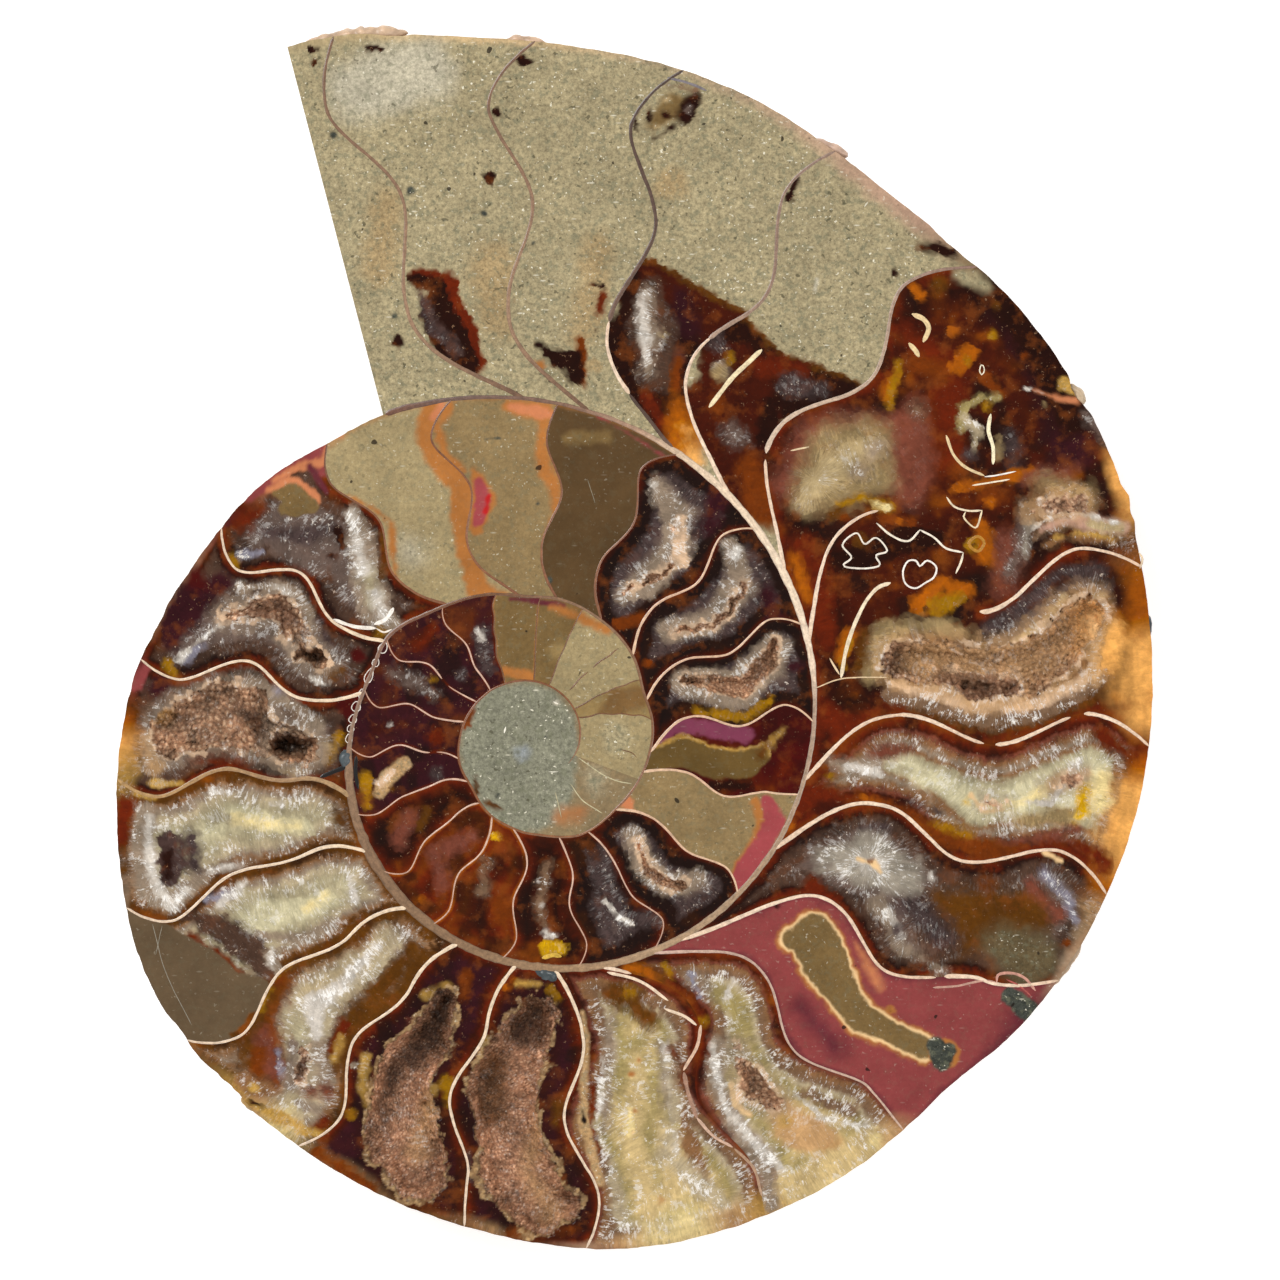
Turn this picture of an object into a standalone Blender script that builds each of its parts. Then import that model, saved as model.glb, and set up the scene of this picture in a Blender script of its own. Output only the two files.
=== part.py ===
# Half of a sawn ammonite: one stony solid with a flat polished cut face above and the coiled flank below.
# Metres, +Z up. The origin is under the middle of the piece, on the surface that it lies on.
import math

import bmesh
import bpy
from mathutils import Vector

# Coil seen on the cut face. Angles are in degrees wound inwards from the outer tip of the sawn mouth.
coilStart = 0.0912        # distance from the coil's pole to the outer wall at the mouth
coilShrink = 0.694        # natural log of how much the coil shrinks in its first turn
coilTighten = 0.045       # extra shrink that each further turn adds
mouthBearing = 109.4      # direction of the mouth's tip from the pole, counterclockwise from +X

# Places where the outer wall stands in or out of the even coil: degrees, spread in degrees, metres.
wallBulges = (
    (5.0, 6.0, 0.0008),
    (16.0, 22.0, -0.0022),
    (52.0, 13.0, -0.0022),
    (84.0, 14.0, 0.0009),
    (112.0, 24.0, 0.0020),
    (151.0, 10.0, -0.0014),
    (188.0, 14.0, 0.0009),
    (256.0, 16.0, 0.0015),
    (318.0, 14.0, -0.0009),
    (344.0, 8.0, -0.0007),
)

# Straight saw cut across the mouth: its distance from the pole and the direction that it faces.
mouthCutOffset = 0.00784
mouthCutFacing = 194.6

# Thickness under the cut face.
flankDepth = 0.0200       # at the umbilical shoulder of the mouth
depthGrowth = 0.35        # how fast the depth follows the coil's radius
shoulderAt = 0.40         # umbilical shoulder, as a share of the coil's radius
umbilicusAt = 0.20        # seam where the shell meets the turn before it
umbilicalFall = 0.35      # share of the depth lost from the shoulder to that seam
flankRoundness = 2.4      # how far out the flank stays full
ventralRoundness = 0.62   # how bluntly it meets the cut face at the rim
navelDepth = 0.0075       # least thickness, at the pole
seamBlend = 0.0022        # height over which one turn's flank runs into the next
depthLean = -2.0          # thinning per metre towards +Y, which lets the piece lie level

# Grid of the flank.
columnCount = 96
ringCount = 26
navelShare = 0.27         # share of the rings that lie inside the navel
navelRadius = 0.018
rimCrowding = 1.6         # how much closer the rings lie towards the rim
weldDistance = 0.00002

stoneColour = (0.33, 0.17, 0.08, 1.0)
stoneRoughness = 0.35


def clearScene():
    for item in list(bpy.data.objects):
        bpy.data.objects.remove(item, do_unlink=True)


def coilRadius(wound):
    """Distance from the pole to the outer wall, at an angle wound inwards from the mouth."""
    turns = wound / 360.0
    radius = coilStart * math.exp(-turns * (coilShrink + coilTighten * turns))
    for centre, spread, height in wallBulges:
        radius += height * math.exp(-((wound - centre) / spread) ** 2)
    return radius


def cutWound(radius):
    """Angle at which the saw cut passes a distance from the pole."""
    across = math.degrees(math.acos(mouthCutOffset / max(radius, navelRadius)))
    return mouthBearing - (mouthCutFacing - across)


def flankProfile(share):
    """Depth of one turn's section, as a share of its greatest, from the seam out to the rim."""
    if share >= 1.0:
        return 0.0
    if share > shoulderAt:
        out = (share - shoulderAt) / (1.0 - shoulderAt)
        return (1.0 - out ** flankRoundness) ** ventralRoundness
    inward = (shoulderAt - share) / (shoulderAt - umbilicusAt)
    return 1.0 - umbilicalFall * inward ** 2


def softMax(first, second):
    """The greater of two depths, eased where they are nearly the same."""
    overlap = max(seamBlend - abs(first - second), 0.0) / seamBlend
    return max(first, second) + overlap * overlap * seamBlend / 4.0


def thickness(wound, radius, y):
    """Depth of stone under the cut face: the deepest turn that covers this place."""
    depth = navelDepth if radius < navelRadius else 0.0
    for turn in (3, 2, 1, 0):
        outer = coilRadius(wound + 360.0 * turn)
        if radius < outer:
            turnDepth = flankDepth * (outer / coilStart) ** depthGrowth * flankProfile(radius / outer)
            depth = softMax(depth, turnDepth) if depth > 0.0 else turnDepth
    return depth * (1.0 + depthLean * y)


def ringRadius(along, outer):
    """Even rings in the navel, then rings that crowd towards the rim."""
    if along <= navelShare:
        return navelRadius * along / navelShare
    out = (along - navelShare) / (1.0 - navelShare)
    return navelRadius + (outer - navelRadius) * (1.0 - (1.0 - out) ** rimCrowding)


def flankPoint(around, along):
    """Place on the flank, from how far round the coil and how far from the pole it lies."""
    outer = coilRadius(360.0 * around)
    for _ in range(4):
        outer = coilRadius(360.0 * around + cutWound(outer))
    radius = ringRadius(along, outer)
    wound = 360.0 * around + cutWound(radius)
    bearing = math.radians(mouthBearing - wound)
    x, y = radius * math.cos(bearing), radius * math.sin(bearing)
    if along >= 1.0:
        return Vector((x, y, 0.0))
    return Vector((x, y, -thickness(wound, radius, y)))


def makeFlank(mesh):
    """The domed back: a grid wound once round the pole and welded inside the navel."""
    bmesh.ops.create_grid(mesh, x_segments=columnCount, y_segments=ringCount, size=0.5)
    for vert in mesh.verts:
        vert.co = flankPoint(round(vert.co.x + 0.5, 6), round(vert.co.y + 0.5, 6))
    bmesh.ops.remove_doubles(mesh, verts=mesh.verts[:], dist=weldDistance)
    bmesh.ops.dissolve_degenerate(mesh, edges=mesh.edges[:], dist=weldDistance / 2)


def openLoop(mesh):
    """Walks the flank's open edge once round and returns its verts in order."""
    edge = next(item for item in mesh.edges if item.is_boundary)
    start, here = edge.verts
    loop = [start]
    while here is not start:
        loop.append(here)
        edge = next(item for item in here.link_edges if item.is_boundary and item is not edge)
        here = edge.other_vert(here)
    return loop


def closeSawCuts(mesh):
    """Fills the mouth's cut and the polished face, two flat faces that share the mouth's top edge."""
    loop = openLoop(mesh)
    tip = max(loop, key=lambda vert: vert.co.xy.length)
    loop = loop[loop.index(tip):] + loop[:loop.index(tip)]
    level = [vert.co.z > -weldDistance for vert in loop]
    if not level[1]:
        loop = [tip] + loop[:0:-1]
        level = [vert.co.z > -weldDistance for vert in loop]
    notchIndex = level.index(False) - 1
    mesh.faces.new(loop[:notchIndex + 1])
    mesh.faces.new(loop[notchIndex:] + [tip])
    bmesh.ops.triangulate(mesh, faces=mesh.faces[:], quad_method='BEAUTY', ngon_method='BEAUTY')
    bmesh.ops.recalc_face_normals(mesh, faces=mesh.faces[:])


def settle(mesh):
    """Puts the origin under the middle of the piece."""
    low = Vector([min(vert.co[axis] for vert in mesh.verts) for axis in range(3)])
    high = Vector([max(vert.co[axis] for vert in mesh.verts) for axis in range(3)])
    middle = (low + high) / 2
    bmesh.ops.translate(mesh, verts=mesh.verts[:], vec=(-middle.x, -middle.y, -low.z))


def stoneMaterial():
    material = bpy.data.materials.new('calcite_and_siltstone')
    material.use_nodes = True
    shader = material.node_tree.nodes['Principled BSDF']
    shader.inputs['Base Color'].default_value = stoneColour
    shader.inputs['Roughness'].default_value = stoneRoughness
    shader.inputs['Metallic'].default_value = 0.0
    return material


def makeAmmoniteHalf(collection):
    shape = bmesh.new()
    makeFlank(shape)
    closeSawCuts(shape)
    settle(shape)
    mesh = bpy.data.meshes.new('ammonite_half')
    shape.to_mesh(mesh)
    shape.free()
    mesh.shade_smooth()
    mesh.set_sharp_from_angle(angle=math.radians(50.0))
    mesh.materials.append(stoneMaterial())
    half = bpy.data.objects.new('ammonite_half', mesh)
    collection.objects.link(half)
    return half


clearScene()
fossil = bpy.data.collections.new('ammonite_fossil_half')
bpy.context.scene.collection.children.link(fossil)
makeAmmoniteHalf(fossil)
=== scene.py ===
import math
from functools import partial

import bmesh
import bpy
import numpy as np
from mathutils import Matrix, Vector


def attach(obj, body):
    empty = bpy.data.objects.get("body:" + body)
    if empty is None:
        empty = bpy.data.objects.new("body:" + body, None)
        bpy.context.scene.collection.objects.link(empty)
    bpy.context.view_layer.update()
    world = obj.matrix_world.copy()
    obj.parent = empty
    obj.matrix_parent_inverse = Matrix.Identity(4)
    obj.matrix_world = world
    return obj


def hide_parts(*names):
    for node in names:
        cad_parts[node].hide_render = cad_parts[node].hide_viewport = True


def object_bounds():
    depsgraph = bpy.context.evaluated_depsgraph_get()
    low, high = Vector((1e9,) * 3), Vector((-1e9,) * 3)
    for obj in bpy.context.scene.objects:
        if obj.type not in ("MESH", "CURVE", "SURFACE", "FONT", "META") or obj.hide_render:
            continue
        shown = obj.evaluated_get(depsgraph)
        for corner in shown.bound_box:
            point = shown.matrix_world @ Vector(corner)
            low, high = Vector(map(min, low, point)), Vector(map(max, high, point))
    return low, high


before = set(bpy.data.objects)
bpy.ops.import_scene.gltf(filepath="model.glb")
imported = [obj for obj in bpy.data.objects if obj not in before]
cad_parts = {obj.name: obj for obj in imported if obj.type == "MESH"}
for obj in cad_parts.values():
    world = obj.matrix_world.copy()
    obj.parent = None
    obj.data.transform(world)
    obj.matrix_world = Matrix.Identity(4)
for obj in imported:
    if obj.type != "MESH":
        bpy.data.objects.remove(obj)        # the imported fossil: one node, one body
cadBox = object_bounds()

# lengths in the dictionaries are millimetres; places are measured from the coil's pole, +X right and +Y up;
# "wound" is degrees wound in along the coil from the sawn mouth,
# and "height" runs from 0 at a turn's inner wall to 1 at its outer wall
mm = 0.001
boxLow, boxHigh = [np.array(corner) / mm for corner in cadBox]
faceLevel = float(boxHigh[2])
firstInner = 24      # the chambers from this one on lie in the small inner turn


# the coil that every piece follows
coil = {
    # mm from the pole to the rim at the mouth, how the turns shrink, and the mouth's bearing in degrees
    "start": 91.2, "shrink": 0.694, "tighten": 0.045, "mouthBearing": 109.4,
    # the saw cut across the mouth: mm from the pole and the way that it faces
    "cutOffset": 7.84, "cutFacing": 194.6, "navel": 18,
    # where the wall stands in or out of the even coil: degrees wound, spread, mm
    "bulges": ((5, 6, 0.8), (16, 22, -2.2), (52, 13, -2.2), (84, 14, 0.9), (112, 24, 2),
               (151, 10, -1.4), (188, 14, 0.9), (256, 16, 1.5), (318, 14, -0.9), (344, 8, -0.7),
               (686, 11, 1.2), (735, 13, -0.6), (805, 12, -0.7), (893, 15, 0.6), (972, 14, -0.5)),
}


def evenRadius(wound):
    turns = np.asarray(wound, float) / 360.0
    radius = coil["start"] * np.exp(-turns * (coil["shrink"] + coil["tighten"] * turns))
    for centre, spread, height in coil["bulges"]:
        radius = radius + height * np.exp(-((wound - centre) / spread) ** 2)
    return radius


def polarSpot(wound, radius):
    bearing = np.radians(coil["mouthBearing"] - wound)
    return poleX + radius * np.cos(bearing), poleY + radius * np.sin(bearing)


def cutWound(radius):
    across = np.degrees(np.arccos(coil["cutOffset"] / np.maximum(radius, coil["navel"])))
    return coil["mouthBearing"] - coil["cutFacing"] + across


# the pole stands where it brings the coil's rim to the middle of the solid's box
poleX = poleY = 0.0
rimWound = np.linspace(-0.2, 354.9, 1200)
rimX, rimY = polarSpot(rimWound, evenRadius(rimWound))
poleX = (boxLow[0] + boxHigh[0] - rimX.min() - rimX.max()) / 2
poleY = (boxLow[1] + boxHigh[1] - rimY.min() - rimY.max()) / 2


# small tools: fields of noise
def latticeValue(ix, iy, seed):
    # a scattered value from 0 to 1 for each place on a lattice, the same on each run
    mixed = ix.astype(np.int64) * 374761393 + iy.astype(np.int64) * 668265263 + int(seed) * 214748357
    mixed = ((mixed ^ (mixed >> 13)) & 0x7FFFFFFF) * 1274126177
    mixed = ((mixed ^ (mixed >> 16)) & 0x7FFFFFFF) * 2246822519
    return ((mixed ^ (mixed >> 15)) & 0xFFFFFF) / float(0xFFFFFF)


def softNoise(x, y, seed):
    ix, iy = np.floor(x), np.floor(y)
    fx, fy = x - ix, y - iy
    fx, fy = fx * fx * (3 - 2 * fx), fy * fy * (3 - 2 * fy)
    low = latticeValue(ix, iy, seed) * (1 - fx) + latticeValue(ix + 1, iy, seed) * fx
    high = latticeValue(ix, iy + 1, seed) * (1 - fx) + latticeValue(ix + 1, iy + 1, seed) * fx
    return low * (1 - fy) + high * fy


def layeredNoise(x, y, seed, layers=3):
    total = weight = 0.0
    for layer in range(layers):
        total = total + softNoise(x * 2 ** layer, y * 2 ** layer, seed + 17 * layer) * 0.5 ** layer
        weight += 0.5 ** layer
    return total / weight


def crystalField(x, y, size, seed):
    # close-set crystals: their height, from 1 at a tip to 0 in the cracks, a value for each crystal,
    # and the way from a place to the middle of its crystal
    cellX, cellY = np.floor(x / size), np.floor(y / size)
    nearest, second = np.full(x.shape, 9.0), np.full(x.shape, 9.0)
    tone, toX, toY = np.zeros(x.shape), np.zeros(x.shape), np.zeros(x.shape)
    for stepX in (-1, 0, 1):
        for stepY in (-1, 0, 1):
            ix, iy = cellX + stepX, cellY + stepY
            dx = x / size - ix - latticeValue(ix, iy, seed)
            dy = y / size - iy - latticeValue(ix, iy, seed + 1)
            reach = np.hypot(dx, dy) * (0.8 + 0.4 * latticeValue(ix, iy, seed + 2))
            closer = reach < nearest
            second = np.where(closer, nearest, np.minimum(second, reach))
            nearest = np.where(closer, reach, nearest)
            tone = np.where(closer, latticeValue(ix, iy, seed + 3), tone)
            toX, toY = np.where(closer, -dx * size, toX), np.where(closer, -dy * size, toY)
    return np.clip((second - nearest) * 1.6, 0.0, 1.0) ** 0.7, tone, toX, toY


def ease(low, high, value):
    part = np.clip((value - low) / (high - low), 0.0, 1.0)
    return part * part * (3 - 2 * part)


def linearColour(text):
    parts = [int(text[i:i + 2], 16) / 255.0 for i in (1, 3, 5)]
    return [part / 12.92 if part <= 0.04045 else ((part + 0.055) / 1.055) ** 2.4 for part in parts]


def mixIn(table, other, share):
    # moves each row of a table of colours or fills towards another by a share
    table += (other - table) * share[:, None]


def stopsAt(value, at, table):
    # rows of a table, eased along their stops
    return np.column_stack([np.interp(value, at, column) for column in table.T])


def travelAlong(line):
    return np.concatenate([[0], np.cumsum(np.hypot(*np.diff(line, axis=0).T))])


def spotOn(line, travel, here):
    return np.interp(here, travel, line[:, 0]), np.interp(here, travel, line[:, 1])


# the rim is broken into small chips, and the cut face and the flank share them
chips = {
    "grain": 0.22, "grainDegrees": 1.3,
    # degrees wound, spread, depth
    "nicks": ((8, 1.5, 0.5), (60, 2.5, 0.5), (88, 2, -0.6), (77, 1.5, 0.8), (148, 4, 0.5), (241, 3, 0.6),
              (250, 2, 0.5), (306, 3, 0.4)),
}


def coilRadius(wound):
    wound = np.asarray(wound, float)
    rim = ease(356, 350, wound)
    rough = layeredNoise(wound / chips["grainDegrees"], wound * 0, 5) - 0.5
    loss = rough * chips["grain"]
    for centre, spread, depth in chips["nicks"]:
        loss = loss - depth * np.exp(-((wound - centre) / spread) ** 4) * (0.6 + rough)
    return evenRadius(wound) + loss * rim


def turnRadius(wound, height):
    return coilRadius(wound + 360.0) * (1.0 - height) + coilRadius(wound) * height


def coilSpot(wound, height):
    return polarSpot(wound, turnRadius(wound, height))


# pieces are sheets bent from grids, with their colours and layers as attributes
def placeObject(name, data):
    item = bpy.data.objects.new(name, data)
    bpy.context.scene.collection.objects.link(item)
    return item


def makePiece(name, sheets, material, flip=False, weld=False):
    # each sheet is (columns, rows, bend), and bend turns grid places into millimetres and named attributes
    shape = bmesh.new()
    ends = []
    for columns, rows, _ in sheets:
        bmesh.ops.create_grid(shape, x_segments=columns, y_segments=rows, size=0.5)
        ends.append(len(shape.verts))
    if flip:
        bmesh.ops.reverse_faces(shape, faces=shape.faces[:])
    mesh = bpy.data.meshes.new(name)
    shape.to_mesh(mesh)
    shape.free()
    grid = np.empty(len(mesh.vertices) * 3, np.float32)
    mesh.vertices.foreach_get("co", grid)
    grid = grid.reshape(-1, 3).astype(float) + 0.5
    places = np.zeros_like(grid)
    layers = {}
    atlas = np.zeros((len(grid), 2))
    tilesAcross = math.ceil(math.sqrt(len(sheets)))
    begin = 0
    for tile, ((_, _, bend), end) in enumerate(zip(sheets, ends)):
        part = slice(begin, end)
        places[part], values = bend(grid[part, 0], grid[part, 1])
        for key, value in values.items():
            layers.setdefault(key, np.zeros((len(grid), value.shape[1])))[part] = value
        corner = np.array([tile % tilesAcross, tile // tilesAcross])
        atlas[part] = (corner + 0.02 + 0.96 * grid[part, :2]) / tilesAcross
        begin = end
    mesh.vertices.foreach_set("co", (places * mm).astype(np.float32).ravel())
    for key, value in layers.items():
        kind, field = ("FLOAT_COLOR", "color") if value.shape[1] == 4 else ("FLOAT_VECTOR", "vector")
        mesh.attributes.new(key, kind, "POINT").data.foreach_set(field, value.ravel())
    corners = np.empty(len(mesh.loops), np.int32)
    mesh.loops.foreach_get("vertex_index", corners)
    mesh.uv_layers.new(name="OFBake").data.foreach_set("uv", atlas[corners].ravel())
    if weld:
        shape = bmesh.new()
        shape.from_mesh(mesh)
        bmesh.ops.remove_doubles(shape, verts=shape.verts[:], dist=0.02 * mm)
        shape.to_mesh(mesh)
        shape.free()
    mesh.materials.append(material)
    mesh.shade_smooth()
    mesh.update()
    piece = placeObject(name, mesh)
    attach(piece, "root")
    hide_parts("ammonite_half")
    print("piece", name, len(mesh.polygons), "faces")


# materials
def setInputs(item, inputs):
    # inputs go by name or by place; each is a socket to link, a colour in hex or a plain value
    for key, value in (inputs.items() if isinstance(inputs, dict) else enumerate(inputs)):
        if isinstance(value, bpy.types.NodeSocket):
            item.id_data.links.new(value, item.inputs[key])
        else:
            item.inputs[key].default_value = linearColour(value) + [1] if isinstance(value, str) else value


def addNode(tree, kind, inputs=(), pick=0, **settings):
    # one node with its settings and links; pick is the output wanted, or several
    item = tree.nodes.new("ShaderNode" + kind)
    for key, value in settings.items():
        setattr(item, key, value)
    setInputs(item, inputs)
    return [item.outputs[key] for key in pick] if isinstance(pick, tuple) else item.outputs[pick]


def newMaterial(name):
    material = bpy.data.materials.new(name)
    material.use_nodes = True
    print("material", name)
    return material, partial(addNode, material.node_tree), material.node_tree.nodes["Principled BSDF"]


# settings of the nodes that reckon, scale a colour and mix two
times, plus, minus, scaled = [{"operation": name} for name in ("MULTIPLY", "ADD", "SUBTRACT", "SCALE")]
blended = {"pick": 2, "data_type": "RGBA"}


# partitions between the chambers: degrees wound at the foot, low fold, crest, high fold and head
partitions = {
    1: (18, 3, 5.8, 1.2, 3.5), 2: (29, 16, 19.3, 15.3, 19.5), 3: (45, 29.6, 32.8, 28.4, 32),
    4: (58, 42, 47, 44, 46.5), 5: (76, 57.5, 62.5, 58.5, 62.5), 6: (90, 75, 79, 76, 79),
    7: (104, 85.5, 93.6, 90, 93.5), 8: (118, 105.5, 110, 106.7, 110), 9: (134, 120, 125.2, 121.3, 124.5),
    10: (164, 138, 142.7, 137.5, 134), 11: (171, 154.8, 159.5, 155.5, 156),
    12: (183, 168.8, 174.8, 172.2, 173.5), 13: (194.5, 190, 194.8, 191.3, 193.5),
    14: (203.5, 208.7, 212.7, 208, 207.5), 15: (219.5, 225.8, 230.3, 226.5, 229.5),
    16: (236, 242.6, 247, 244, 248.5), 17: (255, 262.8, 265.4, 262.7, 267), 18: (272, 280, 284, 280.8, 284),
    19: (305, 299.5, 304.8, 299, 301), 20: (323, 319.8, 325, 319.2, 323.5),
    21: (347, 339.2, 344.2, 340.9, 344.5), 22: (374, 360.7, 365.4, 360.5, 366),
    23: (389, 381.8, 385.9, 381.8, 383.5), 24: (409, 400, 404.2, 401, 406.5),
    25: (429, 421.4, 425.5, 422, 426), 26: (450, 441.4, 445.6, 442.3, 446.5),
    27: (476, 461, 465.6, 461.4, 466), 28: (486, 481.5, 485.8, 482, 481),
    29: (510, 502.8, 505.4, 503, 506.5), 30: (529, 526, 527.2, 523.8, 530),
    31: (545, 543, 547.3, 544.8, 548.5), 32: (573, 562.6, 566.7, 564.4, 568),
    33: (588, 584, 588.7, 585.8, 588.5), 34: (600, 605.5, 606.5, 603, 609.5),
    35: (617, 625.4, 626, 624, 627), 36: (635, 642.5, 647.3, 643.5, 647), 37: (664, 662, 665.4, 661.2, 666),
    38: (683, 681.3, 685, 680, 684), 39: (698, 700.3, 704, 702, 705), 40: (712, 715, 719, 722, 725),
    41: (739.5, 740, 740.5, 741, 742), 42: (755, 756.5, 758, 759, 760), 43: (773, 776, 779, 781.5, 784),
    44: (792, 794, 796.5, 798.5, 800), 45: (802, 807, 812, 816, 820), 46: (850, 850, 850, 850, 850),
}
# how high up the folds lie, and how sharply foot and head sweep away
foldHeights = {"low": 0.25, "crest": 0.54, "high": 0.81, "footSweep": 2.6, "headSweep": 1.6}


def partitionWound(number, height):
    if number == 0:      # the sawn mouth
        wound = np.zeros_like(height)
        for _ in range(5):
            wound = cutWound(turnRadius(wound, height))
        return wound
    foot, low, crest, high, head = partitions[number]
    lowAt, crestAt, highAt = [foldHeights[fold] for fold in ("low", "crest", "high")]
    sweep = low + (foot - low) * np.clip(1 - height / lowAt, 0, 1) ** foldHeights["footSweep"]
    upper = np.clip((height - highAt) / (1 - highAt), 0, 1) ** foldHeights["headSweep"]
    return (sweep + (crest - low) * ease(lowAt, crestAt, height)
            + (high - crest) * ease(crestAt, highAt, height) + (head - high) * upper)


# what fills the chambers: colour, stoniness, grain, how grown the pale crystals are, white flecks
fills = {
    # siltstone and the fine muds
    "silt": ("#9A8E72", 1, 1, 0, 0), "warmSilt": ("#9C8868", 1, 0.9, 0, 0),
    "paleSilt": ("#AFA793", 1, 0.8, 0, 0), "greenSilt": ("#7F7D6A", 1, 1, 0, 0),
    "greySilt": ("#8E949A", 1, 0.6, 0, 0), "tanSilt": ("#988868", 1, 0.5, 0, 0),
    "oliveSilt": ("#857152", 1, 0.45, 0, 0), "tan": ("#8C7652", 1, 0.3, 0, 0),
    "brownTan": ("#73583A", 1, 0.25, 0, 0), "khaki": ("#6F5A3C", 1, 0.35, 0, 0),
    "olive": ("#523F2A", 1, 0.15, 0, 0), "oliveKhaki": ("#5E4A2C", 1, 0.15, 0, 0),
    "greyMud": ("#5C4C3A", 1, 0.15, 0, 0), "greenMud": ("#564A36", 0.9, 0.8, 0, 0),
    "gravel": ("#3C3E38", 1, 1, 0, 0),
    # iron-stained jaspers and crusts
    "jasper": ("#80403F", 1, 0.15, 0, 0), "plum": ("#5C2A30", 1, 0.1, 0, 0),
    "mauve": ("#70394A", 1, 0.1, 0, 0), "pink": ("#94484A", 1, 0.1, 0, 0),
    "salmon": ("#B87858", 1, 0.1, 0, 0), "ochre": ("#A26C42", 1, 0.15, 0, 0),
    "cherry": ("#A83030", 1, 0, 0, 0), "maroon": ("#3C0C0A", 0.4, 0, 0, 0.1),
    "creamCrust": ("#E0BE92", 1, 0.1, 0, 0), "rosyCrust": ("#B08C7C", 0.8, 0.2, 0.5, 0.1),
    "crust": ("#A8927A", 0.9, 0.7, 0, 0), "tanCrust": ("#AE8A50", 0.6, 0.8, 0.4, 0.8),
    # the near-black pit fill is painted shade in small open pits
    "breccia": ("#A98A66", 0.8, 1, 0.4, 0.5), "pit": ("#120A08", 0.8, 0, 0, 0),
    # dark translucent calcite
    "cocoa": ("#1C0803", 0, 0, 0, 0.15), "oxblood": ("#341005", 0, 0, 0, 0.1),
    "rust": ("#521C07", 0, 0, 0, 0.06), "night": ("#160A07", 0, 0, 0, 0.1),
    "purpleDark": ("#2A0E12", 0, 0, 0, 0.15), "umber": ("#4A2C10", 0, 0, 0.06, 0.1),
    "glow": ("#5E2C0C", 0, 0, 0, 0.04), "amber": ("#8E4E12", 0, 0, 0, 0.04),
    "honey": ("#C6925A", 0, 0, 0, 0.04), "dullHoney": ("#825E22", 0, 0, 0.1, 0.2),
    "butter": ("#CDBA8A", 0, 0, 0.6, 0.2), "yellow": ("#B8902E", 0, 0, 0.3, 0.4),
    "greyGlass": ("#827A6E", 0, 0, 1, 0.6), "limeSpar": ("#ADA589", 0, 0, 1, 0.3),
    "sageSpar": ("#8C826A", 0, 0, 1, 0.25), "brownSpar": ("#6E5038", 0, 0, 0.8, 0.5),
    "duskGlass": ("#463329", 0, 0, 0.3, 0.25), "darkGlass": ("#40302C", 0, 0, 0.2, 0.15),
    "haze": ("#64382C", 0, 0, 0.15, 0.1),
    # pale calcite
    "slate": ("#3E3230", 0, 0, 0.5, 0.25), "smoke": ("#54463F", 0, 0, 0.85, 0.35),
    "ash": ("#7A6B5C", 0, 0, 1, 0.5), "frost": ("#B0A89E", 0, 0, 1, 1),
    "blueComb": ("#75717A", 0, 0, 1, 0.8), "mauveSpar": ("#66503F", 0, 0, 0.85, 0.8),
    "milk": ("#988A72", 0, 0, 1, 0.7), "greenSpar": ("#867852", 0, 0, 1, 0.25),
    "paleSpar": ("#AC9770", 0, 0, 1, 0.45), "mist": ("#8A7656", 0, 0, 0.3, 0.1),
    "paleMist": ("#9E8C6C", 0, 0, 1, 0.3), "peach": ("#A88662", 0.2, 0.1, 0.9, 0.3),
    # the darkest druse is painted shade, for the cracks between crystals and the depths of the pockets; the
    # palest also serves as the painted highlight on crystal tips
    "druse": ("#846550", 0.2, 0, 0.9, 0.1), "shadedDruse": ("#523A2E", 0.2, 0, 0.9, 0),
    "paleDruse": ("#BCA086", 0.1, 0, 1, 0.6),
}
stoneTable = {key: np.array(linearColour(value[0]) + list(value[1:])) for key, value in fills.items()}

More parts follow.
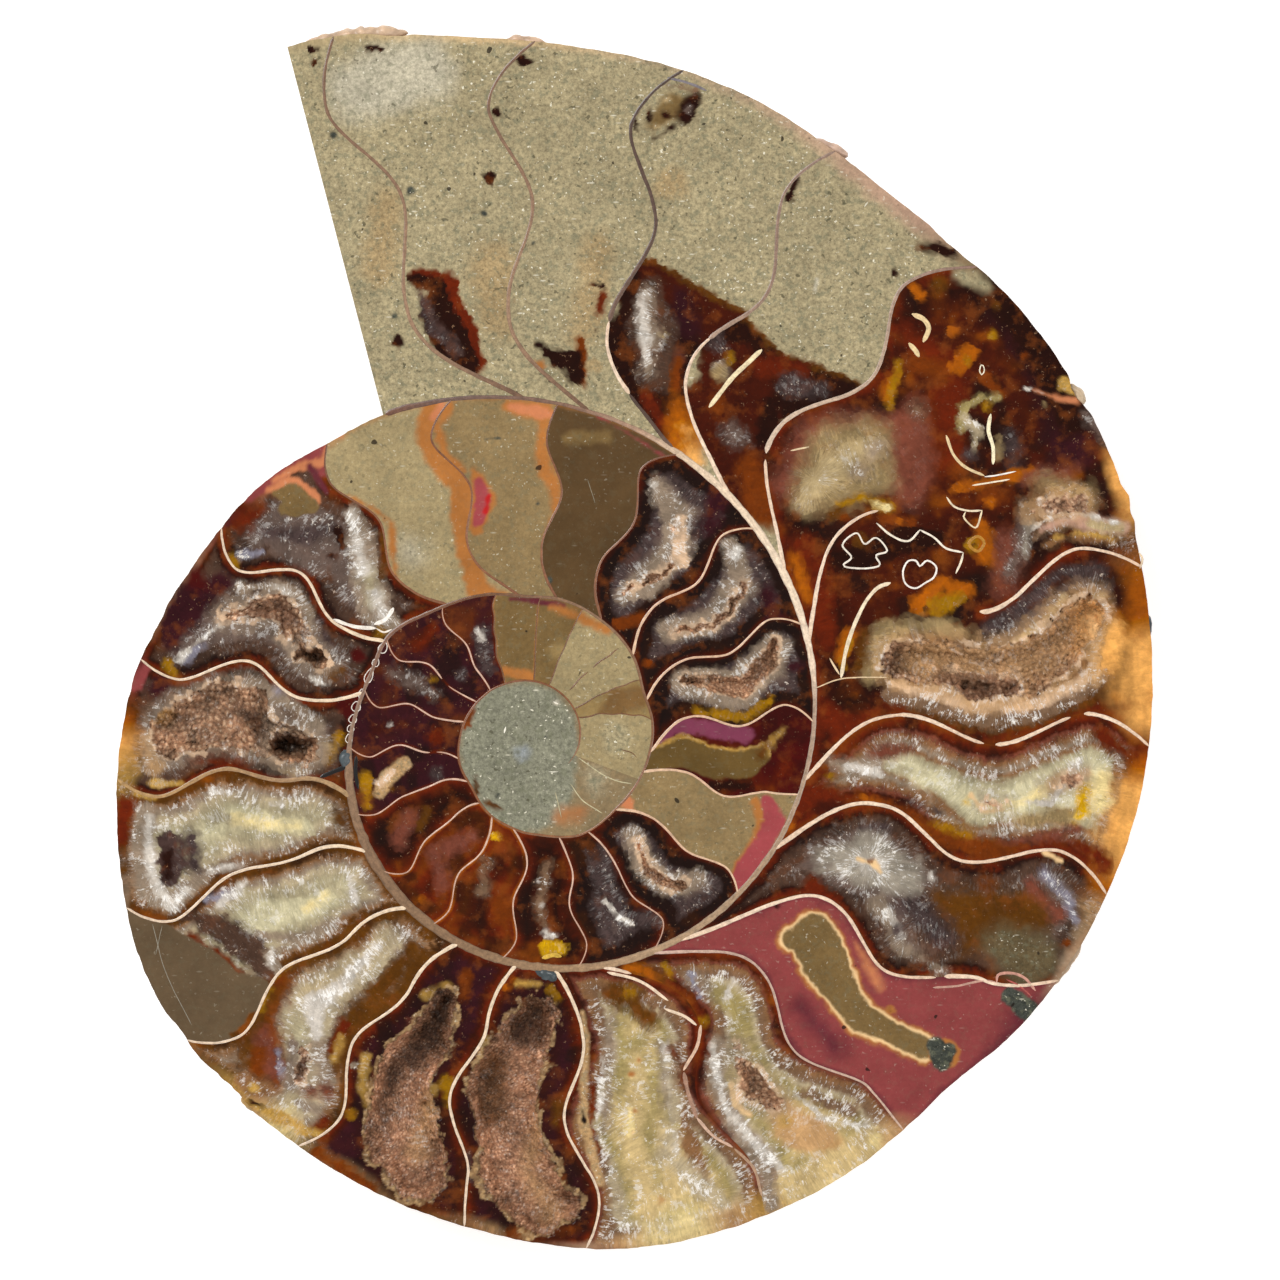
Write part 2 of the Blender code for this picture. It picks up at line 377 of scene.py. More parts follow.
# layers that line a chamber, by depth from its wall
linings = {
    "khaki": ((0, "ochre"), (0.4, "khaki"), (9, "khaki")),
    "jasper": ((0, "plum"), (0.7, "jasper"), (9, "jasper")),
    "bands": (
        (0, "amber"), (0.3, "glow"), (0.9, "rust"), (1.5, "oxblood"), (1.9, "haze"), (2.7, "brownSpar"),
        (3.5, "ash"), (4.1, "brownSpar"), (4.7, "sageSpar"), (5.8, "limeSpar"), (7, "limeSpar"),
    ),
    "lilac": (
        (0, "glow"), (0.4, "rust"), (0.8, "oxblood"), (1.3, "haze"), (1.8, "brownSpar"), (3, "mauveSpar"),
        (3.6, "milk"), (4.6, "greenSpar"), (6.5, "paleSpar"),
    ),
    "glassy": (
        (0, "umber"), (0.5, "umber"), (0.9, "brownSpar"), (1.4, "ash"), (1.9, "milk"), (2.7, "sageSpar"),
        (3.8, "limeSpar"),
    ),
    "frosted": (
        (0, "umber"), (0.35, "rust"), (0.9, "cocoa"), (1.6, "duskGlass"), (2.4, "duskGlass"),
        (3.2, "smoke"), (5, "smoke"),
    ),
    "night": (
        (0, "rust"), (0.3, "oxblood"), (0.9, "night"), (2, "night"), (2.8, "slate"), (3.8, "slate"),
        (4.6, "smoke"), (6, "ash"),
    ),
    "dusk": ((0, "rust"), (0.5, "purpleDark"), (3, "purpleDark"), (6, "oxblood")),
    "shelly": ((0, "umber"), (0.4, "rust"), (1, "oxblood"), (1.8, "purpleDark"), (4, "purpleDark")),
    "ember": ((0, "glow"), (0.5, "rust"), (1.5, "oxblood"), (3, "cocoa"), (6, "oxblood")),
    "fire": ((0, "amber"), (0.6, "rust"), (2, "glow"), (3.4, "rust"), (5, "oxblood")),
}
for name in ("silt", "tanSilt", "oliveSilt", "olive", "tan", "maroon"):
    linings[name] = ((0, name),)      # filled with one thing throughout

# how far a lining's layers stray, and how freely its dark calcite glows, each 1 unless it stands here
wander = {"bands": 0.4, "glassy": 0.4, "lilac": 0.6, "shelly": 0.5, "frosted": 0.5}
glowing = {"night": 0.1, "dusk": 0.3, "shelly": 0.2, "frosted": 0.5}
# how much of the dark lining is missing towards the rim, by chamber
outward = {8: 0.4, 11: 1, 12: 1, 15: 0.3}

# each chamber: lining, its scale, marks (fill, softness, discs joined in a chain), pockets (depth, chain)
chambers = {
    0: ("silt", 1, [
        ("warmSilt", 3, (-19, 58, 2), (-18, 66, 2)), ("cocoa", 0.2, (-27.5, 84.7, 0.4), (-26.5, 84.7, 0.3)),
        ("cocoa", 0.2, (-26.9, 83, 0.35)), ("gravel", 0.2, (-24.6, 74.3, 0.4)),
        ("gravel", 0.2, (-17, 52, 0.5)), ("cocoa", 0.2, (-16.8, 49, 0.8)),
    ], []),
    1: ("silt", 1, [
        ("paleSilt", 4, (-21, 80, 4), (-14, 82, 4)), ("warmSilt", 3, (-5, 58, 3), (-4, 52, 3)),
        ("rust", 0.4, (-14.4, 57, 1), (-10.6, 56, 1.3), (-11, 53, 2.6), (-9.4, 49.4, 2.8),
            (-7.4, 46.4, 1.5)),
        ("cocoa", 0.5, (-14.6, 56.6, 0.8), (-11.4, 55.6, 0.8), (-12, 52.6, 2.2), (-10.2, 49, 2.4),
            (-8, 46.2, 1.3)), ("darkGlass", 1, (-13.8, 54.5, 0.4), (-12.6, 51.5, 0.6), (-9.6, 47.8, 0.6)),
        ("slate", 0.8, (-14.2, 53.4, 0.2), (-12.6, 50.6, 0.4), (-11, 49, 0.3)),
        ("cocoa", 0.3, (-5.5, 69, 0.8)), ("gravel", 0.3, (-15.2, 67.4, 0.5)),
        ("cocoa", 0.2, (-20.5, 85, 0.3), (-18.8, 84.8, 0.3)), ("gravel", 0.2, (-6, 64.6, 0.4)),
    ], []),
    2: ("silt", 1, [
        ("warmSilt", 3, (6, 50, 2), (8, 60, 2)), ("cocoa", 0.2, (-1.8, 83.6, 0.6), (-0.6, 83.1, 0.5)),
        ("cocoa", 0.3, (-4.6, 77, 0.7)), ("gravel", 0.3, (-0.8, 66, 0.6)),
        ("glow", 0.6, (5.8, 49, 0.6), (5.9, 46, 0.7), (6, 44, 0.5)), ("warmSilt", 0.5, (7.4, 46, 0.9)),
        ("cocoa", 0.4, (0.4, 48.6, 0.3), (2.6, 46.9, 1.1), (4.6, 46.6, 1.3), (5, 44.6, 1)),
        ("rust", 0.6, (8.4, 54.4, 0.7), (8, 52.8, 0.6)),
        ("cocoa", 0.3, (7.2, 55.9, 0.35), (8.6, 55.6, 0.3)),
        ("cocoa", 0.3, (7.6, 50.4, 0.25), (7.3, 49.2, 0.15)),
        ("ochre", 0.6, (0.6, 45.8, 0.9), (0.6, 44.8, 0.6)), ("gravel", 0.2, (-5.8, 64.6, 0.35)),
        ("gravel", 0.2, (-0.1, 61, 0.25)), ("glow", 0.2, (-2.3, 53.9, 0.2)),
    ], []),
    3: ("silt", 1, [
        ("khaki", 1.4, (17, 77.8, 1.8), (14.6, 75.4, 0.8)),
        ("cocoa", 0.9, (19.8, 78.8, 1), (18.4, 76.4, 1)),
        ("cocoa", 0.7, (17, 75.2, 0.4), (14.8, 73.8, 0.4)), ("cocoa", 0.5, (14.4, 78, 0.3), (14, 76, 0.3)),
        ("cocoa", 0.5, (16.2, 76.6, 0.5)), ("warmSilt", 0.4, (16.4, 78.6, 0.5)),
        ("warmSilt", 0.4, (15, 75.2, 0.4)), ("smoke", 0.4, (19, 77.4, 0.3)),
        ("mauveSpar", 0.6, (16.6, 80.4, 0.3), (20, 79.7, 0.4)),
        ("cocoa", 0.3, (13.9, 80.6, 0.3), (12.6, 78, 0.3), (12.4, 75, 0.3)), ("warmSilt", 2, (17, 68, 2)),
        ("umber", 0.3, (13.5, 55.5, 3.8), (19.5, 51.2, 4.5), (25, 50.2, 3)),
        ("oxblood", 0.8, (13.5, 55.2, 3.5), (19, 50.8, 4.3), (24.6, 49.8, 2.8)),
        ("cocoa", 1, (14, 47, 7), (17, 41, 5)), ("purpleDark", 2.4, (18, 54, 1.4), (19, 50.6, 1.6)),
        ("haze", 2, (18, 47, 0.8)), ("cocoa", 0.8, (12, 56.6, 1.2), (10.8, 50, 1.2), (11.6, 44, 1)),
        ("duskGlass", 1.6, (14.4, 55.6, 1), (14.6, 50, 3), (15, 44.5, 2)),
        ("ash", 2, (13.8, 55, 0.4), (14, 50, 1.2), (14.2, 45, 0.6)),
        ("frost", 1, (13.4, 54.4, 0.3), (13.4, 50.4, 0.7), (13.8, 46.6, 0.4)),
        ("paleMist", 0.8, (16, 49.6, 0.3)), ("glow", 1.2, (17.8, 46.6, 0.6), (17.4, 43.6, 0.6)),
        ("rust", 1.2, (14, 42, 1), (15.6, 39, 1)), ("amber", 2.6, (17.4, 40.6, 1.2), (18.8, 36.6, 2.4)),
        ("honey", 2, (18.8, 38, 0.4), (19.6, 34.6, 1.2)),
    ], []),
    4: ("silt", 1, [
        ("cocoa", 0.4, (32.1, 68.8, 0.6), (31.4, 66.5, 0.5)),
        ("cocoa", 0.6, (47.8, 60.4, 0.6), (49.4, 60.4, 0.9), (51.4, 59.7, 0.5)),
        ("cocoa", 0.3, (44.2, 57.5, 0.5)), ("paleSilt", 0.3, (34.7, 56.4, 0.3), (34.5, 55.4, 0.2)),
        ("umber", 0.3, (24, 49.1, 3.6), (28, 44, 4.2), (33, 42.8, 3.7), (37.5, 42, 3)),
        ("cocoa", 0.9, (24, 48.8, 3.4), (28, 43.6, 4), (33, 42.4, 3.6), (37.5, 41.6, 2.9)),
        ("oxblood", 1, (24, 40, 6), (26, 33, 6), (24, 45, 4)), ("rust", 2, (28, 46, 1), (33, 45, 1)),
        ("slate", 1.2, (22.5, 50, 0.8), (22.8, 48.4, 1)), ("ash", 0.8, (22.8, 45.6, 0.9)),
        ("dullHoney", 1.2, (24, 47, 0.5)), ("mist", 1.2, (22.4, 45, 0.7)), ("smoke", 2, (24.5, 37.5, 1.6)),
        ("slate", 1.4, (31.5, 43.6, 1.4), (35, 43, 0.8)), ("glow", 1.4, (22.5, 41, 1.3)),
        ("amber", 1.4, (28.2, 31, 1), (29, 27, 0.8)), ("glow", 1.6, (26.3, 33.5, 1.2), (28.5, 28, 2.4)),
        ("cocoa", 1, (28.5, 37, 1.2), (29, 41, 1.2)),
    ], []),
    5: ("ember", 1, [
        ("purpleDark", 3, (59, 53, 3), (65, 44, 4), (66, 36, 3)),
        ("cocoa", 2.5, (56, 56, 2), (62, 49, 3), (66, 40, 3)),
        ("rust", 3, (46, 50, 1), (50, 45, 3), (50, 36, 3)),
        ("silt", 1.6, (52.6, 57, 0.9), (55.6, 55.6, 0.6)), ("umber", 1.6, (49.5, 56, 0.9)),
        ("amber", 0.6, (46.7, 55.6, 0.6), (47.4, 54.4, 0.7)),
        ("oxblood", 1, (48.6, 44.6, 1.2), (47, 42.6, 1)),
        ("amber", 1.4, (44.2, 44.6, 0.7), (43.4, 42, 0.7)),
        ("dullHoney", 1, (43.6, 40.6, 0.5), (44.8, 46.2, 0.4)),
        ("glow", 2, (46.5, 46.2, 0.9), (50, 45, 1.2)), ("amber", 0.5, (51.8, 45.6, 0.9), (53.4, 47.4, 1.2)),
        ("dullHoney", 0.8, (53.2, 46.6, 0.5)), ("glow", 0.6, (55.4, 44.4, 0.7), (57.2, 42.4, 0.6)),
        ("amber", 0.5, (51.4, 50.2, 0.7)), ("dullHoney", 0.3, (56.2, 49.6, 0.6)),
        ("umber", 0.6, (56.8, 53.4, 0.5)), ("glow", 0.6, (60.2, 47, 0.3)),
        ("haze", 3, (46.8, 41, 1.4), (47.2, 35, 2.2), (46.4, 30, 1.4)), ("mauveSpar", 2.4, (47, 40.6, 0.9)),
        ("haze", 3, (31, 31, 2), (35, 37, 3), (44, 37, 3.4), (45, 32, 2)),
        ("mist", 3, (33, 29.4, 1.6), (36.4, 35.4, 3), (41, 36.4, 3), (41.8, 32.4, 2.4), (36, 31, 3)),
        ("paleMist", 3, (33.4, 29.6, 1.2), (36.6, 33.6, 1.8), (40.6, 35.6, 0.8)),
        ("ash", 2, (40, 33, 0.8), (42.4, 36, 0.8)), ("glow", 1.2, (37.8, 27.4, 0.5)),
        ("umber", 0.8, (36.6, 27.6, 0.6), (38.4, 29.2, 0.5)),
        ("dullHoney", 0.6, (37.4, 29, 0.4), (40.4, 29.9, 0.6), (43.6, 28.6, 0.8)),
        ("butter", 0.6, (40.6, 29.6, 0.2), (43.4, 28.6, 0.4)),
        ("glow", 0.8, (43, 27.2, 0.5), (46.5, 26.9, 0.4)), ("amber", 0.8, (45, 27, 0.4)),
        ("cocoa", 0.8, (38, 22, 1.6), (44, 24, 2), (50, 25, 1)), ("umber", 1.2, (40, 24.4, 1)),
        ("greenSpar", 0.7, (52.6, 38.4, 0.6), (52.8, 40.6, 0.7), (54.8, 42, 0.6), (57, 42, 0.3)),
        ("dullHoney", 0.8, (55.4, 41, 0.7)),
        ("cocoa", 0.6, (54.4, 38.4, 1.1), (57.6, 36.6, 1.6), (57.4, 40, 0.6)),
        ("milk", 0.8, (52.8, 39.6, 0.5), (54.4, 37.8, 0.7), (54, 35.6, 0.3)),
        ("mist", 0.8, (57, 34.6, 0.4), (57.2, 37, 0.3)), ("slate", 2.4, (58.6, 37, 0.8), (59, 34, 0.8)),
        ("slate", 1.2, (53.5, 35, 0.8)), ("umber", 0.4, (54, 31.4, 0.6), (59.6, 32.4, 0.6)),
        ("amber", 0.8, (51.6, 30.8, 0.5), (61, 33, 0.6)), ("glow", 2, (52, 33, 1)),
        ("glow", 2.2, (56.4, 30, 1.5)), ("amber", 0.8, (56, 29, 0.6)),
        ("amber", 1.4, (54.8, 26.4, 1), (55.4, 22.6, 1.2)), ("dullHoney", 0.6, (53.8, 24, 0.9)),
        ("umber", 0.3, (54, 24, 0.4)), ("haze", 3, (58.4, 24, 1.6), (57.4, 18.6, 1)),
        ("amber", 0.8, (47.4, 16.6, 1.2), (50.4, 18, 1.9), (53, 18.4, 0.9)),
        ("dullHoney", 0.8, (49.6, 16.4, 1.2), (52.4, 17.4, 0.6)), ("umber", 0.4, (50.4, 18.2, 0.3)),
        ("umber", 0.4, (48.2, 16, 0.3)), ("oxblood", 1.5, (46, 21, 2)),
        ("haze", 2.4, (60.6, 32.6, 0.6), (66, 32.8, 0.8)), ("mist", 3, (63, 31.6, 0.8), (67.4, 30.4, 1)),
        ("smoke", 1.8, (60.6, 27.4, 1), (59.8, 24, 0.9), (58.4, 20.6, 0.4)),
        ("greyGlass", 1.2, (60.8, 26.4, 0.5), (60.2, 23, 0.3)),
        ("cocoa", 0.8, (61.6, 22.8, 0.6), (65, 24.6, 0.8), (70, 23.6, 0.8)),
        ("brownSpar", 1, (63, 24, 0.5), (66.6, 25.2, 0.6), (71, 24.4, 0.5)),
        ("tanCrust", 0.8, (64, 24.8, 0.2), (67, 25.6, 0.25), (71, 24.8, 0.2)),
        ("mauveSpar", 0.8, (61.4, 24.8, 0.5), (64, 26.4, 0.7), (68, 26.6, 0.8), (72, 25.6, 0.6)),
        ("rosyCrust", 0.9, (62.4, 25.8, 0.3), (65, 27, 0.6), (69, 26.8, 0.9), (72.4, 25.8, 0.7)),
        ("paleMist", 1, (68.6, 26.6, 0.6), (72, 25.8, 0.6)),
        ("frost", 0.3, (61.2, 25.8, 0.15), (62.8, 27, 0.2), (65.4, 27.9, 0.2), (68.6, 27.5, 0.2),
            (71.6, 26.6, 0.1)), ("salmon", 0.5, (61.4, 42.9, 0.25), (64.2, 41.9, 0.3), (66.6, 41.6, 0.5)),
        ("mist", 0.5, (62.6, 41.4, 0.3)), ("tanCrust", 0.4, (65.2, 43.6, 0.9), (66.6, 42.8, 0.6)),
        ("frost", 0.3, (60.2, 43.2, 0.2), (62.4, 42.6, 0.15)),
        ("rust", 1.6, (34.6, 20, 1.6), (33.4, 24, 1.6), (36, 12, 1.4)),
        ("amber", 1.4, (33.6, 17.4, 0.7), (32, 22, 0.6)), ("amber", 1, (38.6, 13, 0.9), (37.8, 10, 0.8)),
        ("dullHoney", 0.6, (38, 9.4, 0.5), (38.6, 12, 0.3)),
        ("mist", 1.6, (41.4, 8, 1.2), (42.4, 12, 1.6), (46, 14, 1), (52, 13.4, 0.9)),
        ("umber", 1.2, (39.8, 9, 0.7), (40.6, 13, 0.6)), ("rust", 2, (35.6, 3, 1.6), (40, 1, 1)),
        ("cocoa", 1.6, (38.4, 5, 1), (42, 4.4, 0.8)),
        ("umber", 1.4, (47, 4, 1), (54, 2, 1), (60, 2, 0.9), (68, 5, 0.9)),
        ("mauveSpar", 1, (44, 5.6, 1.2), (49, 4.6, 1.4), (55, 3, 1.6), (60, 3, 1.5), (65.7, 5.4, 1.4),
            (70, 8.4, 0.9)),
        ("paleDruse", 0.8, (43.6, 7, 0.4), (49, 5.6, 0.7), (55, 4, 0.8), (60, 4, 0.7), (65.7, 6.2, 0.7),
            (69.4, 8.8, 0.6)),
        ("slate", 1.4, (55.5, 13.6, 0.8), (60.5, 16.6, 0.9), (64.6, 20.6, 0.9), (69.5, 20.7, 0.7)),
        ("smoke", 1.4, (57.4, 12, 0.8), (62, 15.4, 0.9), (65.6, 19, 0.8), (70, 18.6, 0.8)),
        ("paleMist", 1, (58.4, 11, 0.4), (63, 14.6, 0.4), (65, 17.6, 0.4), (69.6, 17.6, 0.3)),
        ("peach", 1.5, (70, 12, 1.6), (68.6, 8, 1)), ("honey", 1.5, (71, 13.4, 1.2), (70.6, 9.4, 1.2)),
        ("smoke", 1.4, (70.5, 37, 0.6), (67.5, 40.3, 0.4)),
    ], [
        (3.6, (45.2, 9.8, 2.2), (50, 9, 2.8), (55.5, 8.2, 3.2), (60, 8.6, 3.2), (64.3, 11.4, 3),
            (67.8, 15.4, 2.4)), (4.5, (50, 7.6, 1), (54.6, 6.6, 1.5), (58.6, 6.8, 1.3)),
        (1.2, (61, 28, 0.4), (63.6, 29, 0.8), (67, 29, 0.6)),
    ]),
    8: ("bands", 1, [
        ("haze", 2, (42, -1.8, 1), (46, -1.2, 0.8)), ("ash", 1.4, (36.6, -3, 0.8), (42, -3.4, 1)),
        ("frost", 0.6, (38.4, -3.2, 0.3), (42.4, -4, 0.4)),
        ("rust", 1.4, (31.4, -7.6, 2), (36.4, -6.8, 1.4)),
        ("glow", 1.2, (39.6, -6.8, 0.7), (43.4, -8.4, 0.9), (47, -11, 1.4), (51, -12, 1.6),
            (56, -13.6, 1.5), (61, -13.6, 0.7), (65, -13.2, 0.6)), ("dullHoney", 0.8, (36.4, -4.4, 0.5)),
        ("amber", 0.8, (40.4, -7, 0.3), (44, -9.4, 0.3), (48.6, -12, 0.5)),
        ("amber", 1, (31.6, -10.6, 0.6)), ("oxblood", 1.2, (35, -8.6, 0.7), (38.6, -8.2, 0.4)),
        ("dullHoney", 1.4, (49.6, -10.4, 0.6), (53.4, -11.6, 0.7)),
        ("limeSpar", 1.6, (44, -3.6, 0.4), (49, -5, 0.8), (54.6, -8, 1.2), (60, -7, 1.2), (66, -3.6, 0.9)),
        ("brownSpar", 1, (47, -6.8, 0.4), (51, -8.6, 0.5)), ("slate", 1, (46, -7.4, 0.2), (50, -9, 0.2)),
        ("butter", 1.2, (55, -8.4, 0.5), (60, -7.6, 0.6), (66, -4.4, 0.6)),
        ("yellow", 0.8, (53, -7.6, 0.4)), ("haze", 2, (58, -12.4, 0.6), (63, -12, 0.7), (67, -11, 0.6)),
        ("mist", 1.6, (60, -10, 0.9), (65.4, -9, 1)), ("peach", 1.4, (64.4, -5.4, 1.2), (67.6, -4, 0.6)),
        ("butter", 2.2, (69.4, -8, 0.8), (69.8, -4.5, 0.7)),
        ("yellow", 1.4, (67.4, -6.4, 0.7), (67.2, -9.4, 0.7)),
        ("creamCrust", 0.4, (53.6, -6.8, 0.2), (55.4, -8.8, 0.2), (57.6, -8.6, 0.2)),
        ("frost", 0.5, (60, -7.6, 0.2), (63.4, -7.8, 0.3), (67, -2.6, 0.4)),
        ("rust", 1, (60, -13.4, 0.7), (65.6, -13.4, 0.6)),
        ("rust", 1.6, (70, -15, 1.2), (66.8, -12.6, 0.8)), ("rust", 1.6, (69.6, 0.6, 0.8), (73, -2, 1)),
    ], [(1.1, (55.6, -7.8, 0.3), (57, -8, 0.5)), (0.7, (63.4, -5.8, 0.3), (66.6, -4.4, 0.5))]),
    9: ("frosted", 1.1, [
        ("umber", 3, (50, -22, 4), (56, -22, 4.4), (61, -21, 3)), ("glow", 2.6, (55.5, -17.8, 1)),
        ("rust", 1.6, (34, -18, 1), (37, -19.6, 0.8)), ("greenMud", 2.6, (57.5, -25, 2.5), (61, -27, 3.2)),
        ("slate", 2.6, (46, -20, 2), (50, -24, 2)),
        ("smoke", 2.2, (35, -14, 1.4), (41, -14, 3.6), (46, -16.4, 1.8)),
        ("slate", 1.2, (40, -11, 0.5), (43, -10.8, 0.5)), ("smoke", 1.2, (36.6, -17, 1), (41, -18.6, 1)),
        ("greyGlass", 2, (36, -14.4, 1.4), (41, -15, 3.4), (46, -17, 2)),
        ("frost", 2, (40.4, -15, 0.7), (42.5, -15.6, 0.6)),
        ("ash", 1.6, (42, -20, 1), (45, -25.4, 0.6), (50, -28.3, 0.5)), ("frost", 0.8, (48.8, -16.8, 0.5)),
        ("frost", 0.8, (43.4, -21, 0.3), (45, -24, 0.3)), ("frost", 0.8, (38, -16.6, 0.4)),
        ("creamCrust", 0.4, (39.8, -14.6, 0.3), (41.6, -15.2, 0.4), (42.6, -16.2, 0.2)),
        ("glow", 0.3, (41.2, -14.9, 0.3)), ("slate", 1.6, (44.5, -23.4, 0.8)),
        ("blueComb", 1.2, (62.5, -16.4, 0.5), (65.4, -19.4, 0.6), (66.6, -22.6, 0.3)),
        ("haze", 1.4, (61, -17.6, 0.8), (64.6, -21.6, 0.8)),
        ("creamCrust", 0.3, (62.6, -13.8, 0.3), (64.8, -14.9, 0.2)), ("glow", 1, (65.5, -25, 0.5)),
        ("crust", 0.5, (68, -25, 0.4), (65, -29.6, 0.5), (62.5, -32.5, 0.6)),
    ], []),
    10: ("jasper", 1, [
        ("plum", 4, (58, -40, 3), (54, -46, 3), (62, -34, 3)), ("plum", 3, (33, -33, 1), (37, -38, 1)),
        ("salmon", 1.4, (39.4, -24.8, 0.2), (41.4, -28.4, 0.5), (42.4, -30.6, 0.3)),
        ("ochre", 0.6, (31.6, -24.4, 1.8), (34.4, -24.1, 3.3), (35.6, -26.8, 3.5), (36.9, -29.4, 3),
            (38.3, -31.8, 2.5), (40, -33.9, 2.4), (42.8, -35.4, 2.1), (45.6, -36.8, 2), (47.8, -37.8, 2)),
        ("creamCrust", 0.3, (31.6, -24.4, 1.5), (34.4, -24.1, 3), (35.6, -26.8, 3.2), (36.9, -29.4, 2.7),
            (38.3, -31.8, 2.2), (40, -33.9, 2.1), (42.8, -35.4, 1.8), (45.6, -36.8, 1.7),
            (47.8, -37.8, 1.7)),
        ("khaki", 0.3, (31.7, -24.4, 1.2), (34.4, -24.1, 2.7), (35.6, -26.8, 2.9), (36.9, -29.4, 2.4),
            (38.3, -31.8, 1.9), (40, -33.9, 1.8), (42.8, -35.4, 1.4), (45.6, -36.8, 1.3),
            (47.8, -37.8, 1.3)), ("ochre", 0.3, (50.4, -38.4, 1.9)),
        ("gravel", 0.25, (49.4, -37.4, 1.1), (50, -39.4, 1.2), (51, -38, 0.9)),
        ("gravel", 0.25, (58.5, -31.4, 1.1), (60.6, -33, 1.4)), ("ochre", 0.4, (43.8, -33.1, 0.6)),
        ("cocoa", 0.2, (43.8, -33.1, 0.3)), ("cocoa", 0.2, (29.8, -20.4, 0.25)),
    ], []),
    11: ("lilac", 1, [
        ("umber", 1.6, (12, -28.4, 0.8), (15, -29.4, 1.2)),
        ("amber", 1, (11, -28, 0.4), (13.6, -28.4, 0.4), (17, -31.6, 0.5), (18.6, -33, 0.3)),
        ("dullHoney", 0.5, (16, -27.6, 0.3), (17, -29.4, 0.2)), ("dullHoney", 0.8, (20.8, -34.6, 0.4)),
        ("ash", 1.6, (19.6, -29.4, 0.9), (22, -31, 1)),
        ("greenSpar", 1.6, (22.6, -31, 1), (25.4, -33.6, 1.2), (25.8, -39, 1)),
        ("frost", 0.6, (24.6, -29.6, 0.3), (23.4, -31.6, 0.4)),
        ("blueComb", 0.6, (19.4, -29, 0.4), (20.4, -31.4, 0.3)),
        ("ash", 1.2, (22.4, -37, 1), (22.6, -42, 1.1), (25, -47.5, 1.2), (28, -52, 1.2), (29.6, -57, 1.2)),
        ("frost", 0.8, (21.8, -37.4, 0.4), (23.4, -45, 0.4), (27.6, -50, 0.6), (30.6, -52.6, 0.5)),
        ("peach", 1.8, (29, -44, 1), (32, -47.5, 2.6), (35.6, -49, 2)), ("tanCrust", 2, (30.6, -46.6, 0.8)),
        ("ochre", 1.2, (37.5, -49.8, 0.7), (34.6, -51.8, 0.4)),
        ("mauveSpar", 1, (33, -43.4, 0.8), (39, -45.6, 0.9)),
        ("frost", 0.6, (31.4, -43, 0.3), (36, -46.6, 0.3), (40.6, -47.4, 0.3)),
        ("paleSpar", 1.8, (31.5, -55, 1.8), (36, -52.5, 2), (40.6, -50, 2)),
        ("butter", 1.5, (42, -49.4, 0.8)),
        ("creamCrust", 0.4, (24.2, -42.4, 0.3), (24.8, -44.8, 0.4), (26.6, -46, 0.3)),
    ], [(0.8, (25.2, -37.8, 0.3)), (2.4, (25.4, -39.6, 0.7), (26.8, -42.2, 1.6), (29.4, -44.4, 1.1))]),
    12: ("lilac", 1, [
        ("umber", 2, (9, -31, 1), (12, -31.6, 1.6), (13.6, -34, 1.6)), ("dullHoney", 1.4, (12, -31, 0.6)),
        ("ash", 1.6, (9.4, -34, 0.5), (9, -42, 0.7), (8.6, -48, 0.7)),
        ("frost", 0.6, (8.6, -39, 0.2), (8.2, -44, 0.3), (7.6, -47.6, 0.2)),
        ("greenSpar", 2, (12.6, -36.6, 0.8), (12.4, -41, 1.8), (12.6, -47, 2.2), (13, -54, 2.4)),
        ("paleSpar", 1.8, (12.8, -39, 0.6), (12.4, -44, 1.2), (12, -49, 1.5), (14, -57.5, 1.6)),
        ("butter", 0.6, (12, -45.4, 0.3), (11.8, -47.8, 0.5)),
        ("ash", 1.4, (15.6, -37.6, 0.6), (16.6, -44.6, 0.6)),
        ("frost", 1, (16, -37.4, 0.2), (17, -45, 0.3), (17.4, -50.4, 0.4)),
        ("rust", 1.2, (18, -42, 0.5), (17, -38, 0.4)),
        ("brownSpar", 1.4, (17.6, -44, 0.6), (19.4, -49.6, 1.2), (20.6, -54, 0.8)),
        ("milk", 1.6, (16.4, -39.6, 0.6), (17.4, -45, 0.8), (16, -51, 1), (21, -55, 1), (23, -56.6, 0.8)),
        ("creamCrust", 0.5, (12.2, -48.2, 0.15)), ("ochre", 0.4, (12.9, -39.2, 0.2)),
        ("ochre", 0.4, (12, -41, 0.2)), ("ochre", 0.6, (12.4, -45.6, 0.3)),
        ("milk", 1.4, (9.6, -54, 0.7), (10.6, -58, 0.9)), ("ochre", 1, (15.6, -56.4, 0.3)),
        ("rust", 0.6, (7.4, -42, 0.3), (7, -47, 0.4), (8, -51, 0.4)),
        # the near-black pit marks are painted shade in small open pits
        ("breccia", 0.4, (6, -33.5, 0.2), (6.6, -38, 0.3), (6, -42.6, 0.4), (6.2, -47, 0.6),
            (7.4, -51.4, 0.7), (8.2, -54.6, 0.4)), ("pit", 0.2, (6, -45.6, 0.15), (6.2, -46.9, 0.2)),
    ], []),
    13: ("shelly", 1, [
        ("amber", 0.8, (-3.6, -30.4, 0.5), (-2.6, -29.4, 0.3)),
        ("dullHoney", 0.6, (2, -30.6, 0.6), (2.8, -31.6, 0.5)),
        ("umber", 1, (2.9, -44.8, 0.7), (2.6, -47, 0.5)),
        ("tanCrust", 0.6, (-2, -29.9, 0.4), (0.6, -30, 0.3)),
        ("salmon", 0.8, (-5.2, -38.6, 0.7), (-3.6, -35.6, 0.5)),
        ("slate", 0.6, (-7.9, -51, 0.3), (-7.6, -54, 0.3)),
        ("tanCrust", 0.5, (-5.8, -36.6, 0.4), (-6.8, -40, 0.3)),
